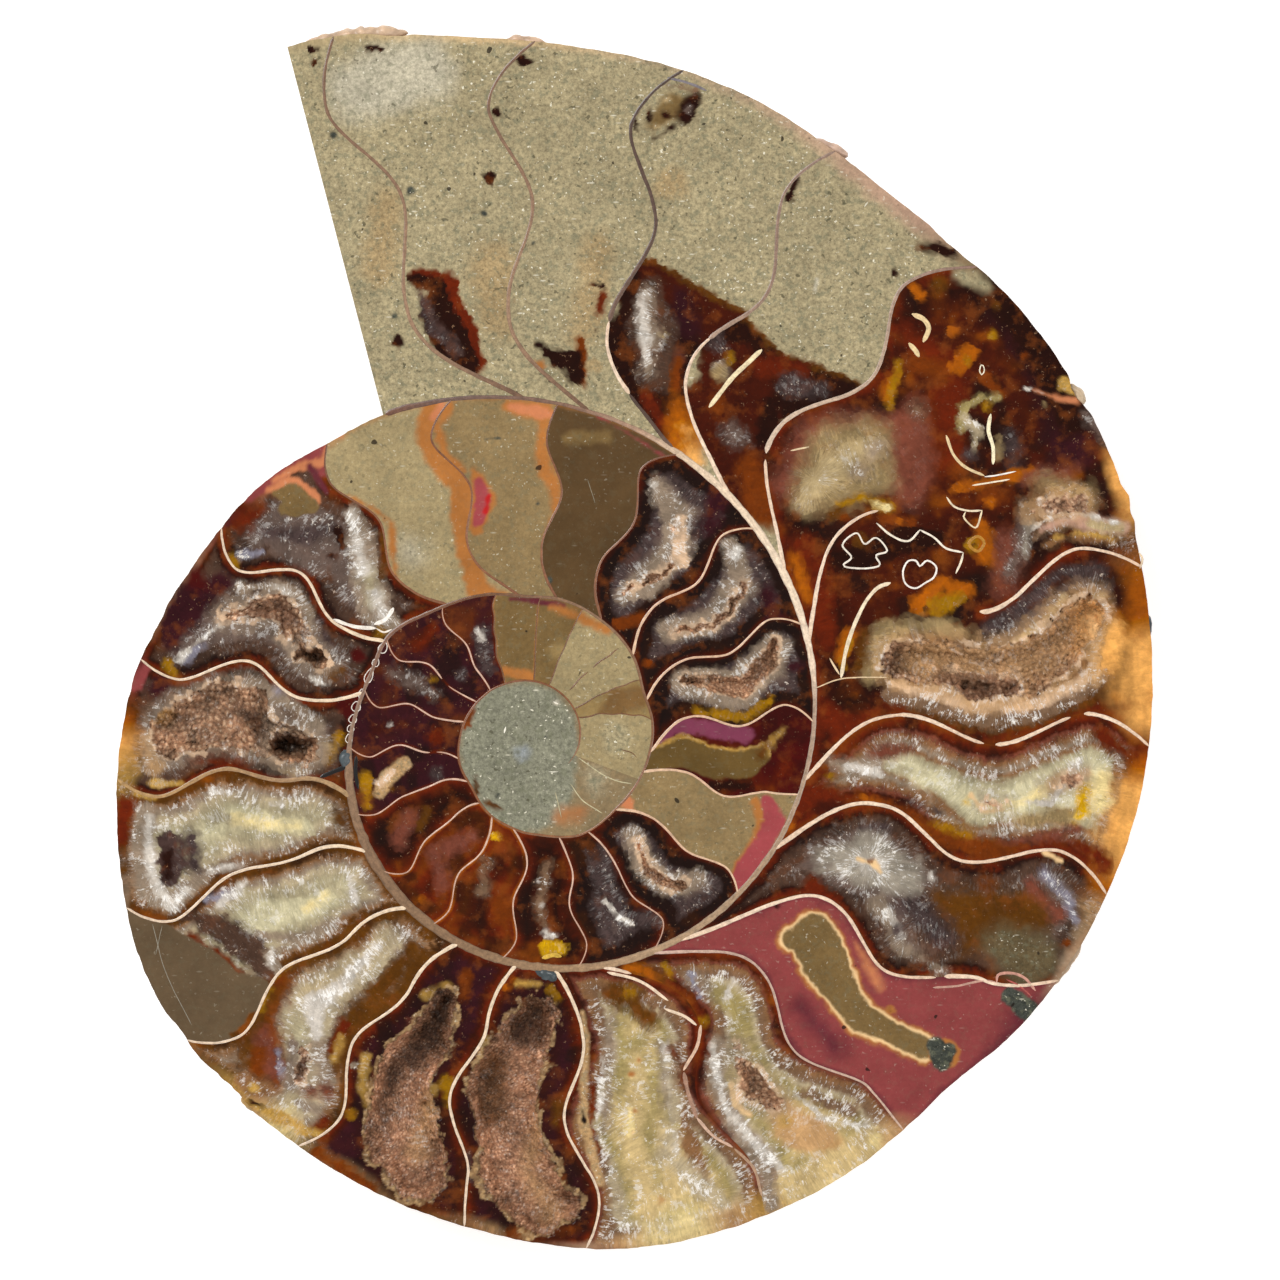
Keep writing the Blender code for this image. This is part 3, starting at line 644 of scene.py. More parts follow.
        ("glow", 1, (5, -60, 0.6), (-3, -60.6, 0.6)),
    ], [
        (4, (0.4, -33.6, 2.5), (-1.6, -38, 3.4), (-3.6, -43, 4.3), (-3.2, -48, 4), (-2, -53, 4.6),
            (0.6, -57, 3.6), (3.4, -57, 2)),
    ]),
    14: ("shelly", 1, [
        ("glow", 1, (-8.4, -29, 0.6), (-8.6, -31.4, 0.5)),
        ("tanCrust", 0.8, (-13, -31.4, 0.5), (-10.6, -30.2, 0.4)),
        ("dullHoney", 0.8, (-10.8, -42, 0.9), (-10, -44.4, 0.8)), ("tanCrust", 0.6, (-12.4, -43, 0.7)),
        ("tanCrust", 0.8, (-20.6, -39, 0.4), (-21, -42.6, 0.5), (-20.6, -45, 0.4)),
        ("dullHoney", 0.8, (-22.4, -46, 0.8)), ("glow", 1, (-20, -55, 0.8), (-26.6, -50.6, 0.8)),
        ("haze", 1, (-15, -35, 0.6)), ("ash", 0.4, (-22.2, -40, 0.3)),
    ], [
        (4, (-10.6, -32, 1.3), (-12.4, -36, 2.4), (-15.4, -40, 3.6), (-16.6, -44, 3.8), (-15.8, -49, 4.4),
            (-14.4, -53, 3.6)),
    ]),
    15: ("glassy", 2.3, [
        ("glow", 2, (-31.4, -29.4, 1.4), (-34, -34, 2.6), (-32.6, -40, 3)),
        ("umber", 2, (-32.4, -31, 1.2), (-34.6, -36, 1.2), (-36, -40, 1)),
        ("haze", 2, (-33, -36.6, 1.4), (-32, -40.6, 1)),
        ("umber", 1.6, (-15, -25.4, 1), (-18, -29.6, 1.4), (-22, -34, 1.6), (-25, -39, 1.4)),
        ("dullHoney", 1, (-30, -27, 0.3), (-32.4, -29.6, 0.3), (-33.4, -33, 0.2)),
        ("rust", 1, (-23.4, -35, 0.8), (-24.6, -38, 0.8)),
        ("umber", 1.2, (-17, -28, 0.6), (-20, -31.8, 0.8)),
        ("tanCrust", 1, (-23.6, -36.6, 0.3), (-24.6, -39, 0.3)),
        ("milk", 2.4, (-18, -24.4, 1.2), (-22, -28, 1.8), (-26.6, -31, 2), (-26.6, -34.6, 1.2)),
        ("paleMist", 1.6, (-19, -25, 0.6), (-22.4, -28.4, 0.8), (-26.6, -31.6, 1.3)),
        ("ash", 1.4, (-26.4, -37, 0.8), (-26, -42, 0.6)),
        ("haze", 1.6, (-28.6, -43, 0.8), (-25.4, -43, 0.5)),
        ("frost", 1, (-19.4, -25.4, 0.5), (-23, -29.4, 0.7), (-26.8, -32.4, 1.3), (-26.6, -36, 0.8)),
        ("brownSpar", 1.4, (-35.6, -41.8, 1.1), (-33, -43, 1)), ("glow", 1.6, (-33.6, -38.6, 1)),
        ("tanCrust", 0.6, (-34.4, -42.6, 0.4)), ("smoke", 0.8, (-29.6, -37.6, 0.7), (-29.8, -42.6, 0.7)),
        ("blueComb", 0.7, (-31.4, -38, 0.4), (-31, -41, 0.3)),
        ("ash", 0.7, (-29, -44.4, 0.6), (-26.6, -45.6, 0.5)),
        ("rust", 0.8, (-27, -47.8, 0.6), (-25.6, -46.6, 0.5)),
        ("tanCrust", 0.7, (-35, -44.6, 0.5), (-31, -46.4, 0.9), (-26, -48.8, 0.5)),
        ("cocoa", 0.3, (-34.6, -44.6, 0.4), (-33.4, -45, 0.3)),
    ], [(1.6, (-28.4, -38.4, 0.5), (-28.8, -41.4, 0.7))]),
    16: ("glassy", 1.4, [
        ("sageSpar", 1.6, (-35.6, -19, 1), (-30, -20.2, 1.8), (-25, -18.6, 1.4)),
        ("limeSpar", 1.2, (-33.4, -20.4, 0.9), (-29, -20.8, 1.3), (-25.6, -19.4, 1)),
        ("butter", 1.4, (-28, -20.6, 0.3), (-25.6, -19, 0.2)),
        ("blueComb", 1, (-40.2, -19.6, 0.5), (-37.4, -19, 0.6)),
        ("frost", 0.8, (-35.6, -17.8, 0.4), (-38.6, -20.2, 0.4)),
        ("frost", 0.8, (-22.6, -17, 0.4), (-22, -19.6, 0.4)),
        ("ash", 1, (-34, -24, 0.7), (-29, -24.4, 0.9), (-25, -22.8, 0.7)),
        ("duskGlass", 1.4, (-42.4, -21.6, 0.9), (-38.2, -23.4, 2), (-34.8, -26, 2.2), (-33, -28.4, 1)),
        ("rust", 1, (-42.2, -24, 0.8), (-38.4, -27.2, 0.9), (-35.8, -29, 0.7)),
        ("ash", 0.8, (-32.6, -26.6, 0.6), (-31.4, -28, 0.5)),
        ("frost", 0.7, (-32, -25.4, 0.3), (-32.4, -27.4, 0.2)),
        ("greyMud", 0.2, (-46.8, -25.6, 3.4), (-42, -28.7, 3.9), (-39, -32, 4.4), (-35.8, -31.2, 2.6),
            (-34, -31, 1.9)), ("greyMud", 0.2, (-50, -24, 3.5), (-46, -32, 4), (-42, -38, 5)),
    ], []),
    17: ("glassy", 1.5, [
        ("sageSpar", 1.6, (-39, -9.4, 1), (-33, -9.6, 2), (-28, -10, 1.6)),
        ("limeSpar", 1.2, (-37, -8.6, 0.7), (-32, -10.4, 1), (-28, -10.6, 0.9)),
        ("butter", 1.8, (-36.6, -9.6, 0.3), (-33, -10.4, 0.4), (-29, -10.6, 0.3)),
        ("frost", 0.4, (-39.6, -6.4, 0.3), (-37.4, -6.4, 0.2)),
        ("frost", 0.5, (-32.4, -8, 0.3), (-31, -8, 0.3)), ("umber", 2, (-23, -11, 1), (-24.6, -8, 0.5)),
        ("ash", 1, (-42, -8, 0.6), (-44.6, -9, 0.6)), ("rust", 1.2, (-50, -8, 1.2), (-50.6, -12, 0.9)),
        ("umber", 1, (-50.2, -16, 0.8)),
        ("ash", 1, (-47.6, -9, 1.2), (-47.9, -13, 1.5), (-47.6, -17.4, 1.6), (-44.6, -20, 1.4),
            (-41, -17, 1)),
        ("frost", 0.6, (-47.2, -9.6, 0.5), (-47.2, -13, 0.6), (-46.8, -17, 0.6), (-44.6, -20.4, 0.8),
            (-42.6, -18.6, 0.5)), ("slate", 1.6, (-42, -12, 1.4), (-42, -15.4, 1.2)),
        ("mauveSpar", 1, (-38, -15.6, 0.7), (-34, -14.8, 0.6)),
        ("frost", 0.5, (-39.6, -16, 0.3), (-36, -15.2, 0.3)),
        ("darkGlass", 0.25, (-45.7, -12.2, 0.8), (-45, -12.2, 1), (-44.6, -15, 1.5), (-44.6, -17, 1.1)),
        ("darkGlass", 1.4, (-43.4, -12.6, 1.2), (-43.2, -15.4, 1.2)),
        ("cocoa", 1.2, (-44.8, -14, 0.6), (-45, -17, 0.5)),
        ("tanCrust", 0.6, (-46.6, -6.8, 0.5), (-48.6, -6.4, 0.5)),
    ], []),
    18: ("frosted", 1, [
        ("purpleDark", 2, (-46.4, 6.4, 1.4), (-44, 8, 0.6)),
        ("jasper", 0.4, (-47.4, 9, 0.5), (-48.8, 6.6, 0.7)),
        ("ash", 1.4, (-35, 7, 0.6), (-30, 4.4, 0.8), (-26.4, 1.8, 0.8)), ("blueComb", 1, (-31.6, 6, 0.4)),
        ("dullHoney", 1.2, (-25.4, -2.6, 0.6), (-24, 0.2, 0.7)), ("mist", 1, (-25.4, -0.6, 0.6)),
        ("maroon", 0.6, (-23.4, 4.4, 0.8), (-22.2, 2.6, 0.6), (-21.6, 6, 0.4)),
        ("peach", 1.6, (-47, 0, 1), (-46.4, -3, 1)),
        ("rust", 1, (-42, -2.6, 0.7), (-37, -1.9, 0.8), (-34.6, -3, 0.4)),
        ("oxblood", 1, (-40, -2.2, 0.4), (-37, -2, 0.4)), ("mist", 1, (-31, -3.8, 0.4), (-28.4, -4, 0.4)),
        ("tanCrust", 0.5, (-46.6, -5.4, 0.5), (-43.6, -5.4, 0.4)),
    ], [
        (3, (-44.6, 0.6, 2.6), (-41.4, 2, 3.2), (-38, 3, 3.6), (-35.6, 3.8, 2.9), (-36.4, 0.6, 1.8),
            (-33, 0.4, 2), (-28.6, -1, 2.2)),
        (6.5, (-31.6, -0.6, 1.2), (-29.4, -1.4, 1.9), (-27.6, -0.8, 1.3)),
    ]),
    19: ("frosted", 1, [
        ("purpleDark", 1.6, (-42, 17, 2.6), (-44.5, 12.6, 1.4), (-38.6, 19, 1.4)),
        ("maroon", 2, (-41.6, 20, 1.4)), ("smoke", 1.4, (-38, 12.6, 0.6), (-35, 13.4, 0.8)),
        ("blueComb", 0.8, (-42.6, 10, 0.6), (-41, 11.4, 0.5)),
        ("frost", 0.6, (-43.6, 9.8, 0.3), (-41.4, 12, 0.2), (-38.6, 14, 0.2)),
        ("ash", 0.8, (-36, 18.6, 0.5), (-32, 19, 0.5), (-28.6, 17.6, 0.5), (-26.8, 14, 0.4)),
        ("frost", 0.4, (-31.6, 18.8, 0.3), (-30, 18, 0.3)),
        ("dullHoney", 0.8, (-45, 9.4, 0.5), (-44, 7.9, 0.3)),
        ("slate", 1, (-26.4, 14.4, 0.5), (-24.6, 10.4, 0.6)),
        ("umber", 1, (-26.4, 7.4, 0.7), (-23.6, 8.6, 0.6)),
        ("frost", 0.5, (-27.2, 7.6, 0.3), (-25.6, 6.8, 0.3)), ("maroon", 0.8, (-21.6, 10.4, 0.8)),
    ], [
        (2.2, (-37.6, 15.2, 0.5), (-34.6, 15.8, 1.1), (-31.6, 16.6, 1.5), (-30, 14.4, 1.2),
            (-28.8, 12.4, 0.8)), (5, (-28.4, 10.6, 0.6), (-26.4, 9.8, 0.8)),
    ]),
    20: ("frosted", 1, [
        ("rust", 1.4, (-36, 26.4, 1), (-33.6, 28.4, 1)), ("glow", 1, (-33.6, 28.8, 0.5)),
        ("slate", 1.6, (-33, 25.6, 0.8), (-28, 25, 1.4), (-25, 26, 1)),
        ("smoke", 1.6, (-31, 23.6, 0.9), (-26.6, 21.6, 1.2)),
        ("blueComb", 0.7, (-35.8, 22.6, 0.5), (-33.6, 23, 0.4)),
        ("dullHoney", 0.8, (-37.4, 22.4, 0.5), (-36.4, 21.3, 0.3)),
        ("cocoa", 0.5, (-24, 25.6, 0.7), (-23.4, 23.8, 0.6)), ("cocoa", 0.5, (-24.8, 22.6, 0.5)),
        ("ash", 1.2, (-22, 28, 0.8), (-21.2, 24.6, 1.8), (-20.4, 20, 2), (-19.4, 16, 2), (-17, 13.6, 1)),
        ("sageSpar", 1.6, (-20.6, 21, 0.6), (-19.6, 17, 0.8)),
        ("frost", 1.4, (-22.4, 27.6, 0.4), (-21.6, 24.6, 0.8), (-21, 21, 0.8)),
        ("frost", 1.2, (-19.6, 18, 0.6), (-18.4, 15, 0.7)), ("dullHoney", 1, (-18.8, 13.2, 0.6)),
        ("umber", 1, (-18.6, 20, 0.4), (-18.4, 25, 0.4)),
        ("jasper", 0.5, (-35, 30, 0.9), (-30, 33.6, 0.8), (-24, 37, 1.4), (-26, 33, 0.9)),
        ("salmon", 0.5, (-32, 31.8, 0.2), (-29.4, 33.2, 0.4), (-25.8, 34.2, 0.5), (-24.6, 36.6, 0.5)),
        ("plum", 0.4, (-27.4, 33.4, 0.4), (-25.4, 30.4, 0.4)),
        ("salmon", 0.4, (-32.4, 30.6, 0.5), (-29.6, 31, 1.4), (-27, 29.6, 0.9)),
        ("khaki", 0.2, (-31.8, 30.2, 0.5), (-29.6, 30, 1.5), (-27.4, 28.7, 1)),
        ("khaki", 0.3, (-30.6, 28.4, 0.8), (-28, 28.4, 0.8)),
    ], []),
    21: ("tanSilt", 1, [
        ("paleSilt", 5, (-15, 23, 1)),
        ("ochre", 0.8, (-12.6, 40.6, 1.3), (-13.5, 36.8, 1), (-10.9, 33.4, 1.5), (-8.7, 30.8, 1.5),
            (-8.8, 27.4, 1.4), (-7.8, 22, 1.3), (-7, 18.4, 1.3), (-3.4, 17.4, 0.8)),
        ("salmon", 0.8, (-11.2, 41, 0.4), (-12.4, 39.6, 0.2)),
        ("ochre", 0.7, (-25, 30, 0.3), (-22, 29.6, 0.3), (-17.6, 27, 0.3), (-17, 20, 0.3)),
        ("salmon", 0.8, (-24, 37.6, 0.5)),
    ], []),
    22: ("oliveSilt", 1, [
        ("ochre", 0.8, (-10.4, 41, 0.5), (-11.8, 38.4, 0.6), (-11, 35.4, 0.5), (-8.6, 33, 0.5)),
        ("ochre", 0.9, (-3, 41, 0.8), (1.4, 40, 1.1), (1, 36.6, 0.8), (1, 33.6, 0.9), (2.6, 31, 0.8),
            (2.9, 28, 0.6), (1.4, 25, 0.4)),
        ("salmon", 0.6, (-2.6, 40.9, 0.5), (1, 40, 0.7), (2.6, 39.8, 0.4)),
        ("ochre", 0.5, (-7.4, 33, 0.6), (-6.2, 29.4, 1.6), (-7, 26, 0.8)),
        ("pink", 0.4, (-6.9, 31.6, 0.7), (-6.2, 29.4, 1.1), (-6.8, 26.8, 0.6)),
        ("cherry", 0.3, (-5.5, 29.8, 0.35), (-5.9, 28, 0.35)), ("gravel", 0.2, (0.5, 29, 0.25)),
        ("gravel", 0.15, (-5.9, 37, 0.12), (-4.2, 37, 0.12)),
    ], []),
    23: ("olive", 1, [
        ("khaki", 0.8, (4, 37, 0.7), (9, 37, 0.9)), ("gravel", 0.2, (2, 19.6, 0.4)),
        ("ochre", 0.5, (1.2, 17.6, 0.6)), ("jasper", 0.4, (8, 39.8, 0.15), (16, 34.8, 0.15)),
    ], []),
    24: ("night", 0.8, [
        ("purpleDark", 1.5, (22.5, 30, 1.2), (21.4, 26.5, 1.2)),
        ("glow", 0.8, (10.6, 14.2, 0.7), (13, 15, 0.6)),
        ("ash", 1, (15, 31.4, 1), (17, 28, 1.6), (17.8, 23.6, 1.7), (13.4, 18.8, 1.7), (11, 17.4, 1)),
        ("frost", 0.6, (14.6, 31.2, 0.5)),
        ("paleDruse", 0.5, (18, 27, 0.6), (18, 22, 0.9), (12, 18.3, 0.6)),
    ], [
        (1.6, (11, 18, 0.2), (12.2, 18.9, 0.45), (13.2, 18.9, 0.2), (14.6, 20, 0.5), (15.8, 20.2, 0.2),
            (17, 21.4, 0.4)), (0.6, (17.2, 26, 0.4)),
    ]),
    25: ("night", 0.8, [
        ("purpleDark", 1.5, (28.5, 18, 1.3), (30, 14, 1)), ("glow", 0.8, (14, 9.4, 0.6)),
        ("ash", 1, (24, 24, 1), (25.5, 20, 1.3), (22, 14.6, 1.4), (16.4, 13.4, 1.2)),
        ("frost", 0.5, (24.6, 22.4, 0.5), (25, 23.4, 0.4)),
        ("paleDruse", 0.5, (17, 13.3, 0.6), (22, 14, 0.7), (24.6, 17, 0.7), (26, 19.4, 0.6)),
    ], [
        (1.5, (17.4, 13.2, 0.15), (18.5, 13.8, 0.4), (19.6, 13.3, 0.15), (20.7, 14.1, 0.5),
            (22, 13.7, 0.15), (22.8, 15.1, 0.5), (24.2, 15.5, 0.15), (24.4, 17, 0.5), (25.6, 17.6, 0.15),
            (25.8, 19, 0.35)),
    ]),
    26: ("night", 0.7, [
        ("purpleDark", 1.2, (32, 9, 1)), ("dullHoney", 0.8, (20, 3.4, 0.5), (26, 2.8, 0.5), (29, 4.8, 0.4)),
        ("ash", 1, (18.5, 7, 1.6), (25, 6.2, 2.4), (29.6, 11, 1.8)),
    ], [
        (2.2, (18.6, 7.4, 0.6), (22, 6.8, 1.1), (25.6, 6.3, 1.3), (28.6, 9.4, 1.1), (29.6, 12, 0.6)),
        (3.6, (18.4, 7.3, 0.4), (20.5, 7, 0.5)),
    ]),
    27: ("maroon", 1, [
        ("cocoa", 1.2, (22, -5.6, 0.8), (26, -5.6, 0.8)), ("rust", 1.2, (30.5, -3.5, 1)),
        ("mauve", 0.5, (14, -1, 0.8), (17, 1.8, 1), (21, 1.4, 1), (26, 0.6, 1)),
        ("tanCrust", 0.3, (14.7, -2.1, 1.1), (18.4, -1, 1.7), (22.4, -2.6, 1.7), (26, -2.6, 1.5),
            (28.2, -1.5, 1.1)),
        ("oliveKhaki", 0.3, (14.6, -2.6, 1.2), (18.4, -1.4, 1.8), (22.4, -3, 1.8), (26, -3, 1.6),
            (28, -1.8, 1.1)), ("umber", 1.2, (28, -1.6, 0.8), (29.6, 0, 0.6)),
        ("tanCrust", 1, (28.8, -1.6, 0.4), (29.6, 0, 0.4), (30.6, 1.2, 0.3)),
        ("mauve", 0.4, (16.6, -3.9, 0.3), (19, -5.2, 0.4)),
    ], []),
    28: ("oliveSilt", 1, [
        ("ochre", 0.6, (27.2, -7.6, 0.6), (28.2, -10.6, 0.8), (26.4, -14.4, 0.8), (24, -17.4, 0.7)),
        ("pink", 0.4, (28.6, -7.4, 0.8), (29.6, -10, 1.2), (27.8, -13.4, 1.3), (25.8, -16.4, 1.2),
            (23.4, -18.8, 1)), ("salmon", 0.5, (11.4, -7.6, 0.9), (12, -8.6, 0.5)),
        ("ochre", 0.5, (16, -12, 0.3), (19, -14.4, 0.3)),
    ], []),
    29: ("night", 0.8, [
        ("ash", 1, (12, -11.4, 0.9), (13.4, -15.4, 1.5), (16.6, -17.8, 1.6), (20, -17, 1.2)),
        ("paleDruse", 0.5, (12.8, -12.6, 0.6), (14, -16, 0.9), (17, -18.2, 0.9), (19, -17.3, 0.6)),
    ], [(1.8, (12.9, -13, 0.35), (13.8, -15.8, 0.6), (16, -17.4, 0.6), (18.2, -17.9, 0.5))]),
    30: ("night", 0.9, [
        ("slate", 1.2, (8.6, -13.6, 0.8), (9, -18, 1), (11, -21.6, 1.2), (15, -22, 0.9)),
        ("frost", 0.5, (8.6, -19.6, 0.25), (10.4, -21.6, 0.4), (12, -22.6, 0.4)),
    ], []),
    31: ("ember", 0.5, [
        ("mauveSpar", 1, (1.8, -15, 0.4), (1, -18.6, 0.7), (0.6, -20.6, 0.5), (1.4, -22.6, 0.4)),
        ("frost", 0.5, (0.9, -20.4, 0.2)), ("yellow", 0.6, (1.6, -25.4, 0.8), (3.4, -25.6, 0.7)),
        ("frost", 0.5, (1.6, -23.8, 0.4), (2.8, -24, 0.3)),
    ], []),
    32: ("fire", 0.7, [
        ("mauveSpar", 1.4, (-6, -15.4, 0.7), (-6.4, -18.6, 0.6)), ("glow", 1.4, (-4, -21, 1.4)),
        ("yellow", 0.5, (-4.6, -11.8, 0.5)),
    ], []),
    33: ("fire", 0.6, [
        ("haze", 1.6, (-8, -12, 0.8), (-12, -14, 1.2), (-11, -18, 0.8)), ("amber", 1, (-14, -19.6, 0.6)),
    ], []),
    34: ("ember", 0.6, [
        ("haze", 1.6, (-16.6, -12, 1), (-15, -9, 0.8)), ("umber", 0.8, (-13, -8.6, 0.6), (-14, -11, 0.3)),
    ], []),
    35: ("dusk", 0.6, [
        ("dullHoney", 0.8, (-20.6, -4.6, 0.6), (-20.4, -8, 0.6)), ("slate", 1, (-12, -4.4, 0.7)),
        ("breccia", 0.3, (-19, -6.6, 0.7), (-18, -4.6, 1), (-15.8, -2.9, 0.8)),
        ("umber", 0.5, (-17.4, -6, 0.3)), ("paleDruse", 0.4, (-19, -5.4, 0.3), (-17.4, -3.8, 0.4)),
    ], []),
    36: ("dusk", 0.6, [("rust", 1.4, (-12, 0.6, 0.8)), ("frost", 0.4, (-17.6, 1.8, 0.25))], []),
    37: ("dusk", 0.6, [
        ("smoke", 1.2, (-17.4, 8, 0.8), (-14.6, 7, 1), (-12.4, 5.6, 0.7)),
        ("dullHoney", 0.8, (-12.4, 7.4, 0.4)),
    ], []),
    38: ("dusk", 0.6, [("rust", 1.4, (-14, 11.6, 1), (-12.6, 13.6, 0.8)), ("slate", 1, (-8.8, 8, 0.5))], [
    ]),
    39: ("dusk", 0.6, [
        ("slate", 1, (-6.6, 13.4, 0.8), (-5.6, 9, 0.9)),
        ("frost", 0.4, (-7, 13.6, 0.25), (-6.2, 12.2, 0.2)),
    ], []),
    40: ("khaki", 0.4, [
        ("plum", 0.3, (-2.8, 17.3, 0.3), (0.6, 17, 0.5)), ("ochre", 0.6, (-3.6, 8.4, 0.5), (0, 7.6, 0.5)),
    ], []),
    41: ("khaki", 0.4, [
        ("plum", 0.3, (0.2, 17, 0.5), (3.6, 16.4, 0.3)), ("tan", 2, (3, 11, 1)),
        ("ochre", 0.8, (2, 16.2, 0.3), (5, 15.4, 0.5)),
    ], []),
    42: ("tanSilt", 0.4, [("ochre", 0.8, (5.6, 15.2, 0.5), (9, 13.4, 0.6))], []),
    43: ("tanSilt", 0.4, [], []),
    44: ("tan", 0.4, [("brownTan", 1.2, (8.4, 3.4, 0.8), (10.4, 4.6, 1.8), (12.6, 5.2, 1.4))], []),
    45: ("tanSilt", 0.6, [("silt", 2, (10, 0, 2))], []),
}

def chainReach(x, y, chain):
    # how far a place lies outside a string of discs, negative inside
    discs = [(px + poleX, py + poleY, radius) for px, py, radius in chain]
    if len(discs) == 1:
        discs = discs * 2
    reach = np.full(x.shape, 1e6)
    for (ax, ay, ar), (bx, by, br) in zip(discs, discs[1:]):
        span = max((bx - ax) ** 2 + (by - ay) ** 2, 1e-9)
        share = np.clip(((x - ax) * (bx - ax) + (y - ay) * (by - ay)) / span, 0, 1)
        gap = np.hypot(x - ax - share * (bx - ax), y - ay - share * (by - ay)) - ar - share * (br - ar)
        reach = np.minimum(reach, gap)
    return reach


# mm between the points of a chamber's grid, of a small inner one's and along the walls
grids = {"outer": 0.21, "inner": 0.17, "walls": 0.25, "batch": 4000}


def chamberSheet(number):
    # the broken partitions 6 and 7 stand loose inside chamber 5
    following = 8 if number == 5 else number + 1
    level = np.linspace(0, 1, 80)
    leftX, leftY = coilSpot(partitionWound(number, level), level)
    rightX, rightY = coilSpot(partitionWound(following, level), level)
    width = np.hypot(leftX - rightX, leftY - rightY).max()
    length = np.hypot(np.diff(leftX), np.diff(leftY)).sum()
    spacing = grids["outer" if number < firstInner else "inner"]
    columns, rows = max(8, int(width / spacing)), max(8, int(length / spacing))

    def edgeLine():
        # the chamber's four walls in one line
        along = np.linspace(0, 1, int(length / grids["walls"]))
        over = np.linspace(0, 1, int(width / grids["walls"]) + 4)
        left, right = partitionWound(number, along), partitionWound(following, along)
        outer = left[-1] + (right[-1] - left[-1]) * over
        inner = right[0] + (left[0] - right[0]) * over
        wound = np.concatenate([left, outer, right[::-1], inner])
        height = np.concatenate([along, np.ones_like(over), along[::-1], np.zeros_like(over)])
        if number == 5:      # crystals stand on the loose stretch of partition 7 too
            stretch = np.linspace(0.51, 1, 130)
            wound, height = np.append(wound, partitionWound(7, stretch)), np.append(height, stretch)
        return np.column_stack(coilSpot(wound, height))

    def bend(across, up):
        wound = partitionWound(number, up) * (1 - across) + partitionWound(following, up) * across
        x, y = coilSpot(wound, up)
        line = edgeLine()
        travel = travelAlong(line)
        heading = np.gradient(line, axis=0)
        heading /= np.maximum(np.hypot(heading[:, 0], heading[:, 1]), 1e-9)[:, None]
        depth, along = np.empty(len(x)), np.empty(len(x))
        for start in range(0, len(x), grids["batch"]):      # a batch at a time spares memory
            part = slice(start, start + grids["batch"])
            gapX = (x[part, None] - line[None, :, 0]).astype(np.float32)
            gapY = (y[part, None] - line[None, :, 1]).astype(np.float32)
            nearest = np.argmin(gapX ** 2 + gapY ** 2, axis=1)
            row = np.arange(len(nearest))
            gx, gy = gapX[row, nearest], gapY[row, nearest]
            slide = np.clip(gx * heading[nearest, 0] + gy * heading[nearest, 1], -0.2, 0.2)
            depth[part] = np.hypot(gx - slide * heading[nearest, 0], gy - slide * heading[nearest, 1])
            along[part] = travel[nearest] + slide
        return paintChamber(number, x, y, depth, along, wound, up)

    return columns, rows, bend


def paintMarks(fill, x, y, marks, seed):
    # calcite marks follow the crystals, so their edges are angular
    _, _, toX, toY = crystalField(x, y, 0.7, seed + 4)
    broad = layeredNoise(x / 2.2, y / 2.2, seed + 2) - 0.5
    tight = layeredNoise(x / 0.7, y / 0.7, seed + 3) - 0.5
    for name, soft, *chain in marks:
        follow = 0.5 * (1 - stoneTable[name][3])
        reach = chainReach(x + follow * toX, y + follow * toY, chain)
        reach += broad * (0.9 * min(soft, 2) + 0.2) + tight * 0.6 * min(1, 0.5 + soft)
        mixIn(fill, stoneTable[name], ease(0.5 * soft + 0.08, -0.5 * soft - 0.08, reach))


